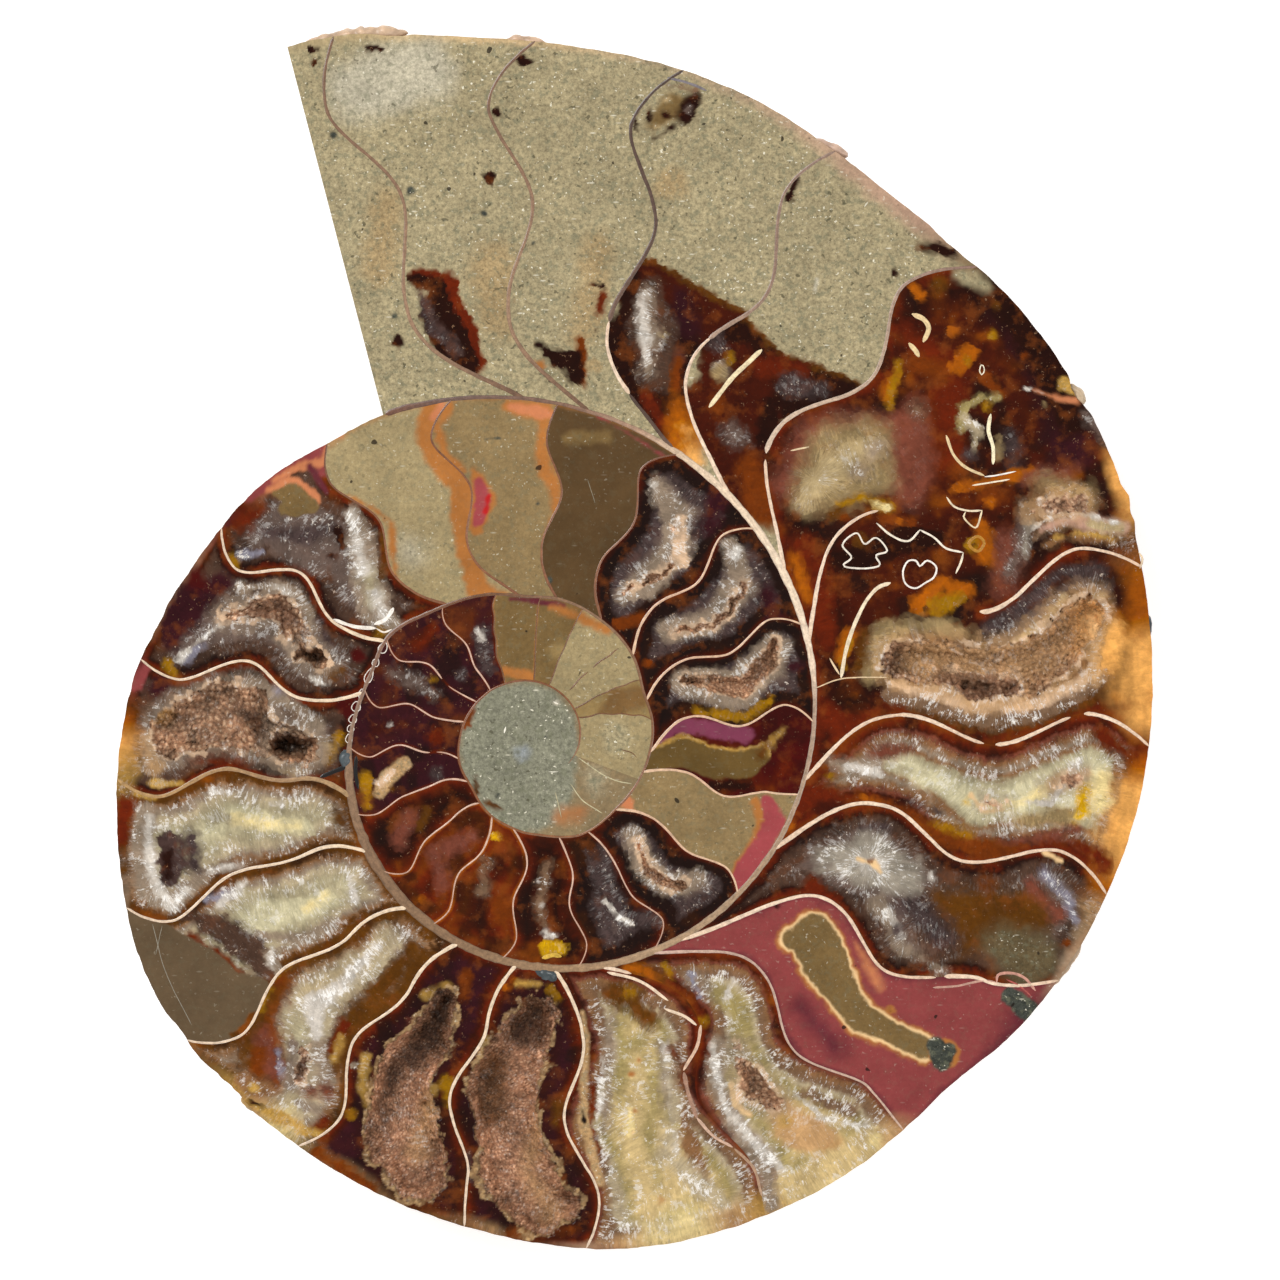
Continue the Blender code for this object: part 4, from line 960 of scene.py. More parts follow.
# glow and bleached crust just inside the outer rim: degrees wound, width, strength, fill
rimGlow = (
    (0, 1.2, 0.5, "paleMist"), (14, 1, 0.6, "creamCrust"), (30, 0.8, 0.5, "crust"),
    (48, 2.2, 0.6, "rosyCrust"), (56, 2.4, 0.7, "rosyCrust"), (62, 1.8, 0.6, "umber"),
    (68, 1.8, 0.6, "crust"), (72, 1.2, 0.5, "rust"), (77, 1, 0.6, "crust"), (81, 1.2, 0.5, "umber"),
    (84, 1.4, 0.9, "honey"), (89, 2.6, 0.7, "honey"), (91, 4.6, 0.6, "brownSpar"), (95, 2.6, 0.8, "amber"),
    (98, 4, 0.6, "amber"), (100, 5.6, 0.9, "honey"), (105, 6, 1, "honey"), (108, 4, 0.8, "honey"),
    (110, 2, 0.7, "rust"), (112, 3.6, 0.8, "amber"), (114, 6, 1, "honey"), (118, 5.4, 1, "honey"),
    (121, 4.2, 0.9, "honey"), (124, 3, 0.8, "amber"), (126, 2.8, 0.7, "peach"), (132, 1.4, 0.6, "crust"),
    (136, 0.8, 0.4, "crust"), (141, 0.3, 0.2, "plum"), (153, 0.3, 0.2, "jasper"), (156, 3, 0.7, "peach"),
    (162, 4.4, 0.8, "butter"), (168, 4, 0.7, "butter"), (173, 3.2, 0.8, "tanCrust"),
    (177, 4.6, 0.7, "peach"), (181, 6, 0.8, "butter"), (186, 4, 0.7, "butter"),
    (190, 2, 0.6, "peach"), (194, 0.8, 0.4, "crust"), (199, 0.5, 0.3, "haze"), (204, 2, 0.5, "peach"),
    (214, 0.8, 0.4, "umber"), (221, 2.2, 0.6, "peach"), (227, 2, 0.6, "brownSpar"),
    (233, 4.6, 0.8, "butter"), (237, 3, 0.6, "peach"), (240, 2.4, 0.7, "tanCrust"),
    (245, 0.8, 0.4, "khaki"), (267, 0.4, 0.3, "crust"), (271, 2.6, 0.6, "ash"), (275, 1.2, 0.6, "umber"),
    (280, 1.8, 0.6, "brownSpar"), (284, 3.2, 0.7, "tanCrust"), (289, 4.4, 0.8, "honey"),
    (292, 2.6, 0.6, "amber"), (294, 1.4, 0.6, "umber"), (299, 1.2, 0.7, "jasper"),
    (303, 0.8, 0.4, "oxblood"), (312, 0.8, 0.4, "crust"), (324, 0.6, 0.4, "plum"), (328, 3.6, 0.6, "rust"),
    (334, 0.8, 0.6, "salmon"), (340, 1.2, 0.6, "plum"), (346, 0.8, 0.4, "ochre"), (350, 0.6, 0.4, "ochre"),
)


def paintRim(fill, x, y, wound, height):
    gap = (1 - height) * (coilRadius(wound) - coilRadius(wound + 360))
    stops = [stop[0] for stop in rimGlow]
    width, strength = [np.interp(wound, stops, [stop[i] for stop in rimGlow]) for i in (1, 2)]
    band = stopsAt(wound, stops, np.array([stoneTable[stop[3]] for stop in rimGlow]))
    uneven = layeredNoise(x / 1.6, y / 1.6, 71) - 0.5
    streak = layeredNoise(gap / 0.7, wound / 9, 72) - 0.5
    band[:, :3] *= (1 + 0.35 * streak)[:, None]
    mixIn(fill, band, ease(1.2, 0.2, gap / width + 0.5 * uneven) * strength)


# the crystals in the pockets: their size in the large pockets, and in the small or sugary ones
druse = {
    "coarse": 0.75, "fine": 0.42, "haloWidth": 2.4, "haloStrength": 0.55, "lipWidth": 0.9, "fall": 1.8,
    "innerShare": 0.45, "sugaryTint": (0.95, 0.87, 0.86), "stainAndShadeStrength": 0.65, "deepPocket": 5,
}
sugaryPockets = (13, 14)
# colours that stain the crystals in the pockets; the dark cocoa, umber and dusky ones are painted shade in
# the deep holes and on the shaded left side of pocket 13, and the peach on its right side is painted light
pocketStainsAndShade = {
    5: [
        ("peach", 3, (48, 10, 2.4), (56, 10, 2.4), (62, 10.4, 3), (67.6, 15.6, 2.4)),
        ("honey", 4, (69.6, 10, 2.4), (68.6, 15, 2)), ("creamCrust", 3, (69.4, 11, 0.8), (68.6, 14.6, 0.6)),
        ("shadedDruse", 3, (51, 8, 1.6), (56, 6.6, 2.4), (60.4, 7.2, 1.4)),
    ],
    13: [
        ("cocoa", 2.4, (-0.4, -32.6, 2.4), (-0.6, -36, 2.6)),
        ("umber", 3, (-4.6, -40, 1.6), (-5, -46.4, 1.6)),
        ("peach", 3, (1.4, -46, 1), (-1, -53, 1), (2, -58, 1.4)),
    ],
    14: [
        ("cocoa", 3, (-10.6, -32, 1.6), (-13, -37, 2.2), (-17, -40.6, 1)),
        ("peach", 3, (-12.6, -44, 1), (-14.6, -51, 1.2)),
    ],
    15: [("cocoa", 2, (-28.6, -40, 1.4))],
    18: [("cocoa", 2, (-36, 3.6, 0.8), (-32, 0, 2)), ("dullHoney", 3, (-46, 3.4, 1))],
    19: [("shadedDruse", 2, (-34.4, 15.6, 1.6), (-30.6, 15.4, 1.2))],
}
# stone round a pocket and on its lip
pocketRims = {5: ("peach", "paleDruse"), 13: ("cocoa", "breccia"), 14: ("cocoa", "breccia")}


def openPockets(number, x, y, fill, seed):
    # sinks a chamber's pockets, lines them with crystals, paints shade into their cracks and depths, and
    # returns how deep and how open each place is
    sink, hollow = np.zeros(len(x)), np.zeros(len(x))
    pockets = chambers[number][3]
    if not pockets:
        return sink, hollow
    inner, sugary = number >= firstInner, number in sugaryPockets
    halo, lip = pocketRims.get(number, ("ash", "paleDruse"))
    size = druse["fine" if sugary or inner else "coarse"]
    small = druse["innerShare"] if inner else 1
    coarse, tone, toX, toY = crystalField(x, y, size, seed + 3)
    fine, toneFine, _, _ = crystalField(x, y, size * 0.55, seed + 8)
    edgeX, edgeY = x + 0.6 * toX, y + 0.6 * toY
    tight = layeredNoise(edgeX / 0.8, edgeY / 0.8, seed + 6) - 0.5
    broad = layeredNoise(x / 3, y / 3, seed + 7) - 0.5
    # painted shade and highlight: the crystals are dark in the cracks between them and pale at their tips
    tips = 0.6 * coarse + 0.4 * fine
    bed = np.tile(stoneTable["shadedDruse"], (len(x), 1))
    mixIn(bed, stoneTable["druse"], ease(-0.1, 0.5, tips))
    mixIn(bed, stoneTable["paleDruse"], ease(0.5, 1.0, tips) * 0.7)
    bed[:, :3] *= (0.66 + 0.4 * tone + 0.35 * toneFine + 1.3 * broad)[:, None]
    if sugary:
        bed[:, :3] *= druse["sugaryTint"]
    # real stains, with painted shade in the deep holes and painted light on lit sides
    for name, soft, *chain in pocketStainsAndShade.get(number, ()):
        mask = ease(0.5 * soft, -0.5 * soft, chainReach(x, y, chain) + 1.4 * broad)
        mixIn(bed, stoneTable[name], druse["stainAndShadeStrength"] * mask)
    for deep, *chain in pockets:
        reach = chainReach(edgeX, edgeY, chain) + small * (1.6 * broad + 1.1 * tight)
        ragged = 2.2 * (layeredNoise(x / 2.2, y / 2.2, seed + 11) - 0.3)
        rimWidth = small * np.clip(ragged, 0.05, druse["lipWidth"])
        around = ease(druse["haloWidth"] * small, 0.5 * small, reach)
        mixIn(fill, stoneTable[halo], around * druse["haloStrength"])
        rim = ease(0.12, -0.12, reach - rimWidth) * ease(-0.25, 0.05, reach)
        mixIn(fill, stoneTable[lip], rim * (0.2 + 0.75 * tone))
        inside = ease(0.08, -0.12, reach)
        # painted shade: the crystals darken towards each pocket's deep middle, and the deepest pockets are
        # darker still
        fall = ease(0.1, -druse["fall"] * small, reach)
        shadow = 0.5 if deep >= druse["deepPocket"] else 0
        shadedPocketBed = bed.copy()
        shadedPocketBed[:, :3] *= (1.2 - 0.3 * fall * min(1, deep / 4) - shadow * fall)[:, None]
        mixIn(fill, shadedPocketBed, inside)
        pocket = inside * deep * (0.3 + 0.7 * fall) - inside * size * (0.55 * coarse + 0.3 * fine)
        sink = np.maximum(sink, np.maximum(pocket, 0))
        hollow = np.maximum(hollow, inside)
    return sink, hollow


# crystals and clouds of the calcite, and how strongly the cut face is coloured
calcite = {
    "blade": 0.42, "facet": 0.9, "drift": 4.5, "stray": 2.6, "wallBand": 1.2, "cloud": 3.4, "warmth": 0.35,
    "darkness": 0.7, "richness": 1.14,
}
# crystals fanned round a point: place and reach
bursts = {9: (41, -15, 10), 5: (34.3, 32, 5), 24: (14.6, 31, 2.5), 25: (25, 23, 2.5)}


def paintChamber(number, x, y, depth, along, wound, height):
    lining, scale, marks, _ = chambers[number]
    seed = 100 + number * 7
    _, blade, _, _ = crystalField(along + 0.1 * depth, depth * 0.45, calcite["blade"], seed + 9)
    _, facet, _, _ = crystalField(x, y, calcite["facet"], seed + 10)
    drift = layeredNoise(x / calcite["drift"], y / calcite["drift"], seed + 1) - 0.5
    jitter = 0.4 * (blade - 0.5) + 0.2 * (facet - 0.5) + calcite["stray"] * drift * wander.get(lining, 1)
    level = depth / scale + jitter * np.clip(depth, 0, calcite["wallBand"]) / calcite["wallBand"]
    level = level + outward.get(number, 0) * ease(0.3, 0.7, height)
    steps = linings[lining]
    fill = stopsAt(level, [step[0] for step in steps], np.array([stoneTable[step[1]] for step in steps]))
    # warm glows and dark clouds run through the calcite between the walls
    patchy = layeredNoise(x / calcite["cloud"] + 0.06 * facet, y / calcite["cloud"], seed + 5)
    dark = np.clip(1 - fill[:, 5] * 1.4, 0, 1) * (1 - fill[:, 3])
    warm = calcite["warmth"] * glowing.get(lining, 1) * dark
    mixIn(fill, stoneTable["glow"], ease(0.54, 0.75, patchy) * warm)
    mixIn(fill, stoneTable["amber"], ease(0.68, 0.84, patchy) * warm)
    mixIn(fill, stoneTable["night"], ease(0.48, 0.28, patchy) * dark * calcite["darkness"])
    if number < firstInner:
        paintRim(fill, x, y, wound, height)
    paintMarks(fill, x, y, marks, seed)
    sink, hollow = openPockets(number, x, y, fill, seed)
    plain = fill[:, :3] @ (0.3, 0.59, 0.11)
    fill[:, :3] = np.maximum(plain[:, None] + (fill[:, :3] - plain[:, None]) * calcite["richness"], 0.0005)
    combAlong, combDepth = along, depth
    if number in bursts:
        px, py, wide = bursts[number]
        gx, gy = x - poleX - px, y - poleY - py
        near = ease(wide, wide * 0.7, np.hypot(gx, gy)) > 0.5
        combAlong = np.where(near, np.arctan2(gy, gx) * 5.0, along)
        combDepth = np.where(near, np.hypot(gx, gy), depth)
    values = {
        "tint": np.column_stack([fill[:, :3], hollow]),
        "comb": np.column_stack([combAlong + 37.0 * number, combDepth, fill[:, 6]]),
        "make": fill[:, 3:6],
    }
    return np.column_stack([x, y, faceLevel - sink]), values


# the middle of the coil, one plug of fine siltstone
heart = {"wound": 850, "fill": "oliveSilt", "columns": 130, "rows": 44, "seed": 900}
heartMarks = [
    ("oliveSilt", 1.5, (10, -2, 3), (9, -6, 4), (6, -9, 3)),
    ("greenSilt", 1.2, (-1.7, 0, 7.3), (-1.9, -4.6, 7.1)), ("silt", 2, (7.4, -5, 1.6)),
    ("greySilt", 2.4, (-1.8, -1.8, 0.3)), ("ochre", 2.2, (3.6, -9.4, 0.9), (6, -8.6, 0.3)),
    ("umber", 0.3, (-7.3, -4.4, 0.25), (-7, -6.6, 0.4)), ("umber", 0.3, (-6, -7.8, 0.2), (-3.8, -8.6, 0.2)),
    ("glow", 0.4, (-7.7, 3.4, 0.4), (-8.2, 1.8, 0.5)), ("paleSilt", 0.2, (2.8, 4.5, 0.45)),
    ("gravel", 0.3, (-4.4, -6.8, 0.3)), ("gravel", 0.3, (1.4, 0.4, 0.2)),
]


def heartSheet():
    def bend(across, up):
        wound = heart["wound"] + 360 * across
        x, y = polarSpot(wound, coilRadius(wound) * up)
        fill = np.tile(stoneTable[heart["fill"]], (len(x), 1))
        paintMarks(fill, x, y, heartMarks, heart["seed"])
        values = {
            "tint": np.column_stack([fill[:, :3], np.zeros(len(x))]),
            "comb": np.column_stack([wound * 0.1, up * 7, 0 * up]),
            "make": fill[:, 3:6],
        }
        return np.column_stack([x, y, np.full(len(x), faceLevel)]), values

    return heart["columns"], heart["rows"], bend


# patterns of the cut face: repeats per metre, detail, roughness, then the range read and what it becomes;
# 1000 a metre is grain of about a millimetre, and the finest real grain is drawn coarse enough to show
faceGrains = {
    "grain": (1300.0, 5.0, 0.7, 0.3, 0.7, 0.82, 1.18), "cloud": (260.0, 4.0, 0.5, 0.3, 0.7, 0.8, 1.2),
    "sugar": (1500.0, 4.0, 0.8, 0.32, 0.68, -0.6, 0.6), "warmth": (330.0, 5.0, 0.6, 0.53, 0.68, 0.0, 0.4),
    "cluster": (380.0, 4.0, 0.6, 0.4, 0.62, -0.05, 0.13), "sand": (1700.0, 4.0, 0.8, 0.3, 0.7, -0.5, 0.5),
    "patch": (240.0, 5.0, 0.6, 0.3, 0.7, 0.84, 1.16), "green": (900.0, 4.0, 0.75, 0.52, 0.6),
    "scrap": (2300.0, 2.0, 0.6, 0.655, 0.69), "scrapField": (500.0, 3.0, 0.5, 0.45, 0.55, 0.15),
    "spot": (1300.0, 2.0, 0.5, 0.33, 0.29), "hole": (640.0, 1.0, 0.4, 0.235, 0.215),
}
# crystals that stand square to a wall: how closely they crowd along it and away from it, detail, roughness
faceCrystals = {
    "tooth": ((3.4, 0.8, 1), 3.0, 0.6), "fibre": ((5.5, 0.45, 1), 3.0, 0.6),
    "needle": ((3.0, 0.9, 1), 5.0, 0.7),
}
faceColours = {
    "deepGlow": "#8A4616", "dullFleck": "#9A7658", "paleFleck": "#E4DCD0", "needle": "#F0ECE6",
    "green": "#6E6E58", "scrap": "#E6DFC8", "spot": "#4A4634", "hole": "#1E1712", "splinter": "#E2DAC4",
}


# calcite and siltstone, sawn and ground flat with fine grit: the face is even and glossy,
# so the eye sees crisp grain and crystals under one calm shine, and only the pockets are dull
def cutFaceMaterial():
    material, add, shader = newMaterial("polishedCalciteAndSiltstone")
    tint, hollow = add("Attribute", (), ("Color", "Alpha"), attribute_name="tint")
    comb = add("Attribute", (), "Vector", attribute_name="comb")
    make = add("Attribute", (), "Vector", attribute_name="make")
    stony, grain, grown = add("SeparateXYZ", (make,), (0, 1, 2))
    flecky = add("SeparateXYZ", (comb,), 2)
    place = add("TexCoord", (), "Object")
    flat = add("VectorMath", (comb, (1, 1, 0)), **times)
    field = {}
    for name, (scale, detail, rough, *span) in faceGrains.items():
        noise = add("TexNoise", {"Vector": place, "Scale": scale, "Detail": detail, "Roughness": rough})
        field[name] = add("MapRange", (noise, *span))
    for name, (crowding, detail, rough) in faceCrystals.items():
        lay = add("Mapping", {"Vector": flat, "Scale": crowding})
        field[name] = add("TexNoise", {"Vector": lay, "Scale": 1.0, "Detail": detail, "Roughness": rough})
    # where pale growth begins, the dark crystals end in a row of teeth
    tooth = add("MapRange", (field["tooth"], 0.3, 0.7, -0.36, 0.36))
    tooth = add("Math", (grown, tooth), **plus)
    tooth = add("MapRange", (tooth, 0.36, 0.5))
    notGrown = add("Math", (1.0, grown), **minus)
    dark = add("Math", (notGrown, notGrown), **times)
    border = add("Math", (grown, notGrown), **times)
    toothGain = add("Math", (border, add("Math", (tooth, 2.0), **minus)), **times)
    toothGain = add("MapRange", (toothGain, -0.5, -0.25, 0.82, 1.18))
    # broad blades and fine fibres lie the same way
    lay = add("Mapping", {"Vector": flat, "Scale": (2.2, 0.7, 1)})
    blade = add("TexVoronoi", {"Vector": lay, "Scale": 1.0}, "Color")
    bladeGain = add("MapRange", (add("SeparateColor", (blade,)), 0, 1, 0.9, 1.1))
    fibre = add("MapRange", (field["fibre"], 0.3, 0.7, -0.15, 0.15))
    fibreGain = add("Math", (add("Math", (fibre, grown), **times), 1.0), **plus)
    grainGain = add("Math", (bladeGain, field["grain"]), **times)
    cloudGain = add("Math", (field["cloud"], add("Math", (toothGain, fibreGain), **times)), **times)
    gain = add("Math", (grainGain, cloudGain), **times)
    # the pockets are lined with crystals as fine as sugar
    sugar = add("Math", (field["sugar"], hollow), **times)
    gain = add("Math", (gain, add("Math", (sugar, 1.0), **plus)), **times)
    calcite = add("VectorMath", {0: tint, "Scale": gain}, **scaled)
    # light caught deep in the dark calcite
    warmth = add("Math", (field["warmth"], dark), **times)
    calcite = add("Mix", {0: warmth, 6: calcite, 7: faceColours["deepGlow"]}, **blended)
    # white flecks in clusters, round in the dark calcite and long as needles in the pale
    chip = add("TexNoise", {"Vector": place, "Scale": 1900.0, "Detail": 3.0, "Roughness": 0.75})
    flecks = add("Math", (flecky, 1.15), **times)
    chip = add("Math", (chip, add("Math", (field["cluster"], flecks), **times)), **plus)
    chip = add("MapRange", (chip, 0.65, 0.7, 0.0, 0.8))
    chip = add("Math", (chip, add("MapRange", (flecky, 0.0, 0.2))), **times)
    fleck = {0: grown, 6: faceColours["dullFleck"], 7: faceColours["paleFleck"]}
    fleck = add("Mix", fleck, **blended)
    calcite = add("Mix", {0: chip, 6: calcite, 7: fleck}, **blended)
    needle = add("Math", (field["needle"], add("Math", (field["cluster"], 0.8), **times)), **plus)
    needle = add("MapRange", (needle, 0.585, 0.64, 0.0, 0.9))
    needle = add("Math", (needle, add("Math", (flecky, grown), **times)), **times)
    calcite = add("Mix", {0: needle, 6: calcite, 7: faceColours["needle"]}, **blended)
    # siltstone: grains of about 0.3 mm, dark and pale, with scraps of shell
    sand = add("Math", (add("Math", (field["sand"], grain), **times), 1.0), **plus)
    stone = {0: tint, "Scale": add("Math", (sand, field["patch"]), **times)}
    stone = add("VectorMath", stone, **scaled)
    scrap = add("Math", (field["scrap"], field["scrapField"]), **times)
    lay = add("Mapping", {"Vector": place, "Rotation": (0, 0, 0.7), "Scale": (420, 1500, 1000)})
    gap, shard = add("TexVoronoi", {"Vector": lay, "Scale": 1.0}, ("Distance", "Color"))
    shard = add("MapRange", (add("SeparateColor", (shard,), 2), 0.93, 0.95))
    splinter = add("Math", (add("MapRange", (gap, 0.26, 0.16)), shard), **times)
    green = add("Math", (field["green"], grain), **times)
    shares = {
        "green": (green, 0.5),
        "scrap": (scrap, add("Math", (grain, 0.9), **times)),
        "spot": (field["spot"], add("Math", (grain, 0.7), **times)),
        # the near-black holes are painted shade in tiny open pores of the siltstone
        "hole": (field["hole"], 0.85),
        "splinter": (splinter, add("Math", (grain, 0.8), **times)),
    }
    for name, pair in shares.items():
        layer = {0: add("Math", pair, **times), 6: stone, 7: faceColours[name]}
        stone = add("Mix", layer, **blended)
    whole = add("Mix", {0: stony, 6: calcite, 7: stone}, **blended)
    rough = add("MapRange", (hollow, 0, 1, 0.17, 0.5))
    setInputs(shader, {"Base Color": whole, "Roughness": rough, "Specular IOR Level": 0.12})
    return material


# partitions, walls and broken bits of old shell: thin pale lines that stand a hair above the face
ribbon = {
    "step": 0.3, "reach": 0.25, "sunk": 0.02, "partitionRise": 0.06, "shardRise": 0.05, "wallRise": 0.08,
}


def ribbonSheet(line, stops, rise, seed):
    # stops are (share of the length, width, colour)
    line = np.asarray(line, float)
    travel = travelAlong(line)
    total = travel[-1]
    closed = np.hypot(*(line[0] - line[-1])) < 0.01
    at, widths, colours = zip(*stops)
    table = np.array([linearColour(colour) for colour in colours])

    def bend(along, across):
        here = along * total
        x, y = spotOn(line, travel, here)
        aheadX, aheadY = spotOn(line, travel, np.minimum(here + ribbon["reach"], total))
        behindX, behindY = spotOn(line, travel, np.maximum(here - ribbon["reach"], 0))
        dx, dy = aheadX - behindX, aheadY - behindY
        size = np.maximum(np.hypot(dx, dy), 1e-9)
        taper = 1.0 if closed else ease(0, 0.5, here) * ease(0, 0.5, total - here) * 0.75 + 0.25
        side = (across - 0.5) * np.interp(along, at, widths) * taper
        side = side * (0.8 + 0.4 * layeredNoise(here / 0.9, across * 0, seed))
        side = side + 0.12 * (layeredNoise(here / 2.5, across * 0, seed + 1) - 0.5)
        x, y = x - dy / size * side, y + dx / size * side
        z = faceLevel + rise * (1 - (2 * across - 1) ** 2) - ribbon["sunk"]
        values = {
            "tint": np.column_stack([stopsAt(along, at, table), np.ones(len(x))]),
            "lie": np.column_stack([here, across, np.full(len(x), float(seed))]),
        }
        return np.column_stack([x, y, z]), values

    return max(4, int(total / ribbon["step"])), 4, bend


def partitionLine(number, low=0.0, high=1.0):
    height = np.linspace(low, high, 100)
    return np.column_stack(coilSpot(partitionWound(number, height), height))


def smoothLine(points, steps=8):
    # a curve that passes through given points
    spots = np.array(points, float) + (poleX, poleY)
    if len(spots) == 2:
        return spots[0] + np.linspace(0, 1, steps)[:, None] * (spots[1] - spots[0])
    closed = np.hypot(*(spots[0] - spots[-1])) < 0.01
    before = spots[-2] if closed else 2 * spots[0] - spots[1]
    after = spots[1] if closed else 2 * spots[-1] - spots[-2]
    spots = np.vstack([before, spots, after])
    pieces = []
    for a, b, c, d in zip(spots, spots[1:], spots[2:], spots[3:]):
        t = np.linspace(0, 1, steps, endpoint=False)[:, None]
        curve = 2 * b + (c - a) * t + (2 * a - 5 * b + 4 * c - d) * t ** 2
        pieces.append(0.5 * (curve + (3 * b - a - 3 * c + d) * t ** 3))
    return np.vstack(pieces + [spots[-2:-1]])


# fossil shell cut across and polished with the stone: silky pale lines with faint growth layers,
# a little darker along both edges, where they meet the calcite
def shellMaterial():
    material, add, shader = newMaterial("fossilShellCrossSection")
    tint = add("Attribute", (), "Color", attribute_name="tint")
    lie = add("Attribute", (), "Vector", attribute_name="lie")
    lay = add("Mapping", {"Vector": lie, "Scale": (0.8, 4.0, 1)})
    layers = add("TexNoise", {"Vector": lay, "Scale": 1.0, "Detail": 4.0, "Roughness": 0.5})
    layers = add("MapRange", (layers, 0.3, 0.7, 0.8, 1.15))
    place = add("TexCoord", (), "Object")
    speckle = add("TexNoise", {"Vector": place, "Scale": 1700.0, "Detail": 4.0, "Roughness": 0.8})
    speckle = add("MapRange", (speckle, 0.32, 0.68, 0.7, 1.3))
    gain = add("Math", (layers, speckle), **times)
    side = add("Math", (add("SeparateXYZ", (lie,), "Y"), 0.5), **minus)
    side = add("Math", (side, 0.0), operation="ABSOLUTE")
    edge = add("MapRange", (side, 0.26, 0.46, 1.0, 0.5))
    gain = add("Math", (gain, edge), **times)
    colour = add("VectorMath", {0: tint, "Scale": gain}, **scaled)
    setInputs(shader, {"Base Color": colour, "Roughness": 0.25})
    return material


# looks of the partitions: width, then the colour at the foot, a third of the way up and at the head
lineLooks = {
    "silt": (0.58, "#6E503C", "#96765C", "#70523E"), "cream": (0.58, "#DDBFA2", "#E6CCB2", "#D8B89C"),
    "mixed": (0.56, "#A88C78", "#8A6E5C", "#8A7060"), "dusty": (0.6, "#CDB49C", "#BFA48C", "#86685A"),
    "left": (0.48, "#E4CBAC", "#E0C8AC", "#D8BEA4"), "thin": (0.4, "#C9A896", "#B89A88", "#C4A490"),
    "brown": (0.34, "#7A4E34", "#8A5A3C", "#6E4630"), "second": (0.36, "#D9B594", "#CFA88A", "#D9B594"),
    "third": (0.25, "#C9A48C", "#D2AE98", "#B98E76"), "hair": (0.22, "#6A4426", "#6E4A2C", "#7A5030"),
    "tanWall": (0.66, "#A88860", "#A07E5C", "#B08A58"), "dusk": (0.6, "#6E5446", "#5A4438", "#4A382E"),
}
# the look of each partition from this number on
lineRuns = {
    1: "silt", 3: "dusk", 4: "mixed", 5: "dusty", 6: "cream", 11: "thin", 12: "cream", 13: "left",
    18: "tanWall", 19: "left", 21: "brown", 25: "second", 30: "third", 40: "hair",
}
# stretches that survive where a partition is broken, some with a look of their own
lineStretches = {
    3: ((0, 0.085), (0.085, 0.26, "cream"), (0.26, 1)), 4: ((0, 0.34, "cream"), (0.33, 1)),
    5: ((0, 0.155, "cream"), (0.17, 1)), 6: ((0, 0.33),), 7: ((0.51, 1),),
    8: ((0, 0.27), (0.25, 0.51), (0.545, 0.76), (0.8, 1)), 10: ((0, 0.68), (0.7, 1)), 12: ((0, 0.05),),
    36: ((0, 0.2), (0.26, 1)), 38: ((0, 0.3), (0.38, 1)), 43: ((0.1, 0.42), (0.5, 0.9)),
}


def partitionRibbons():
    ribbons = []
    for number in range(1, 46):
        usual = lineRuns[max(first for first in lineRuns if first <= number)]
        for low, high, *other in lineStretches.get(number, ((0, 1),)):
            width, *colours = lineLooks[other[0] if other else usual]
            widths = [width * swell for swell in (1.3, 1, 0.8)]
            stops = list(zip((0, 0.3, 1), widths, colours))
            line = partitionLine(number, low, high)
            ribbons.append(ribbonSheet(line, stops, ribbon["partitionRise"], number))
    return ribbons


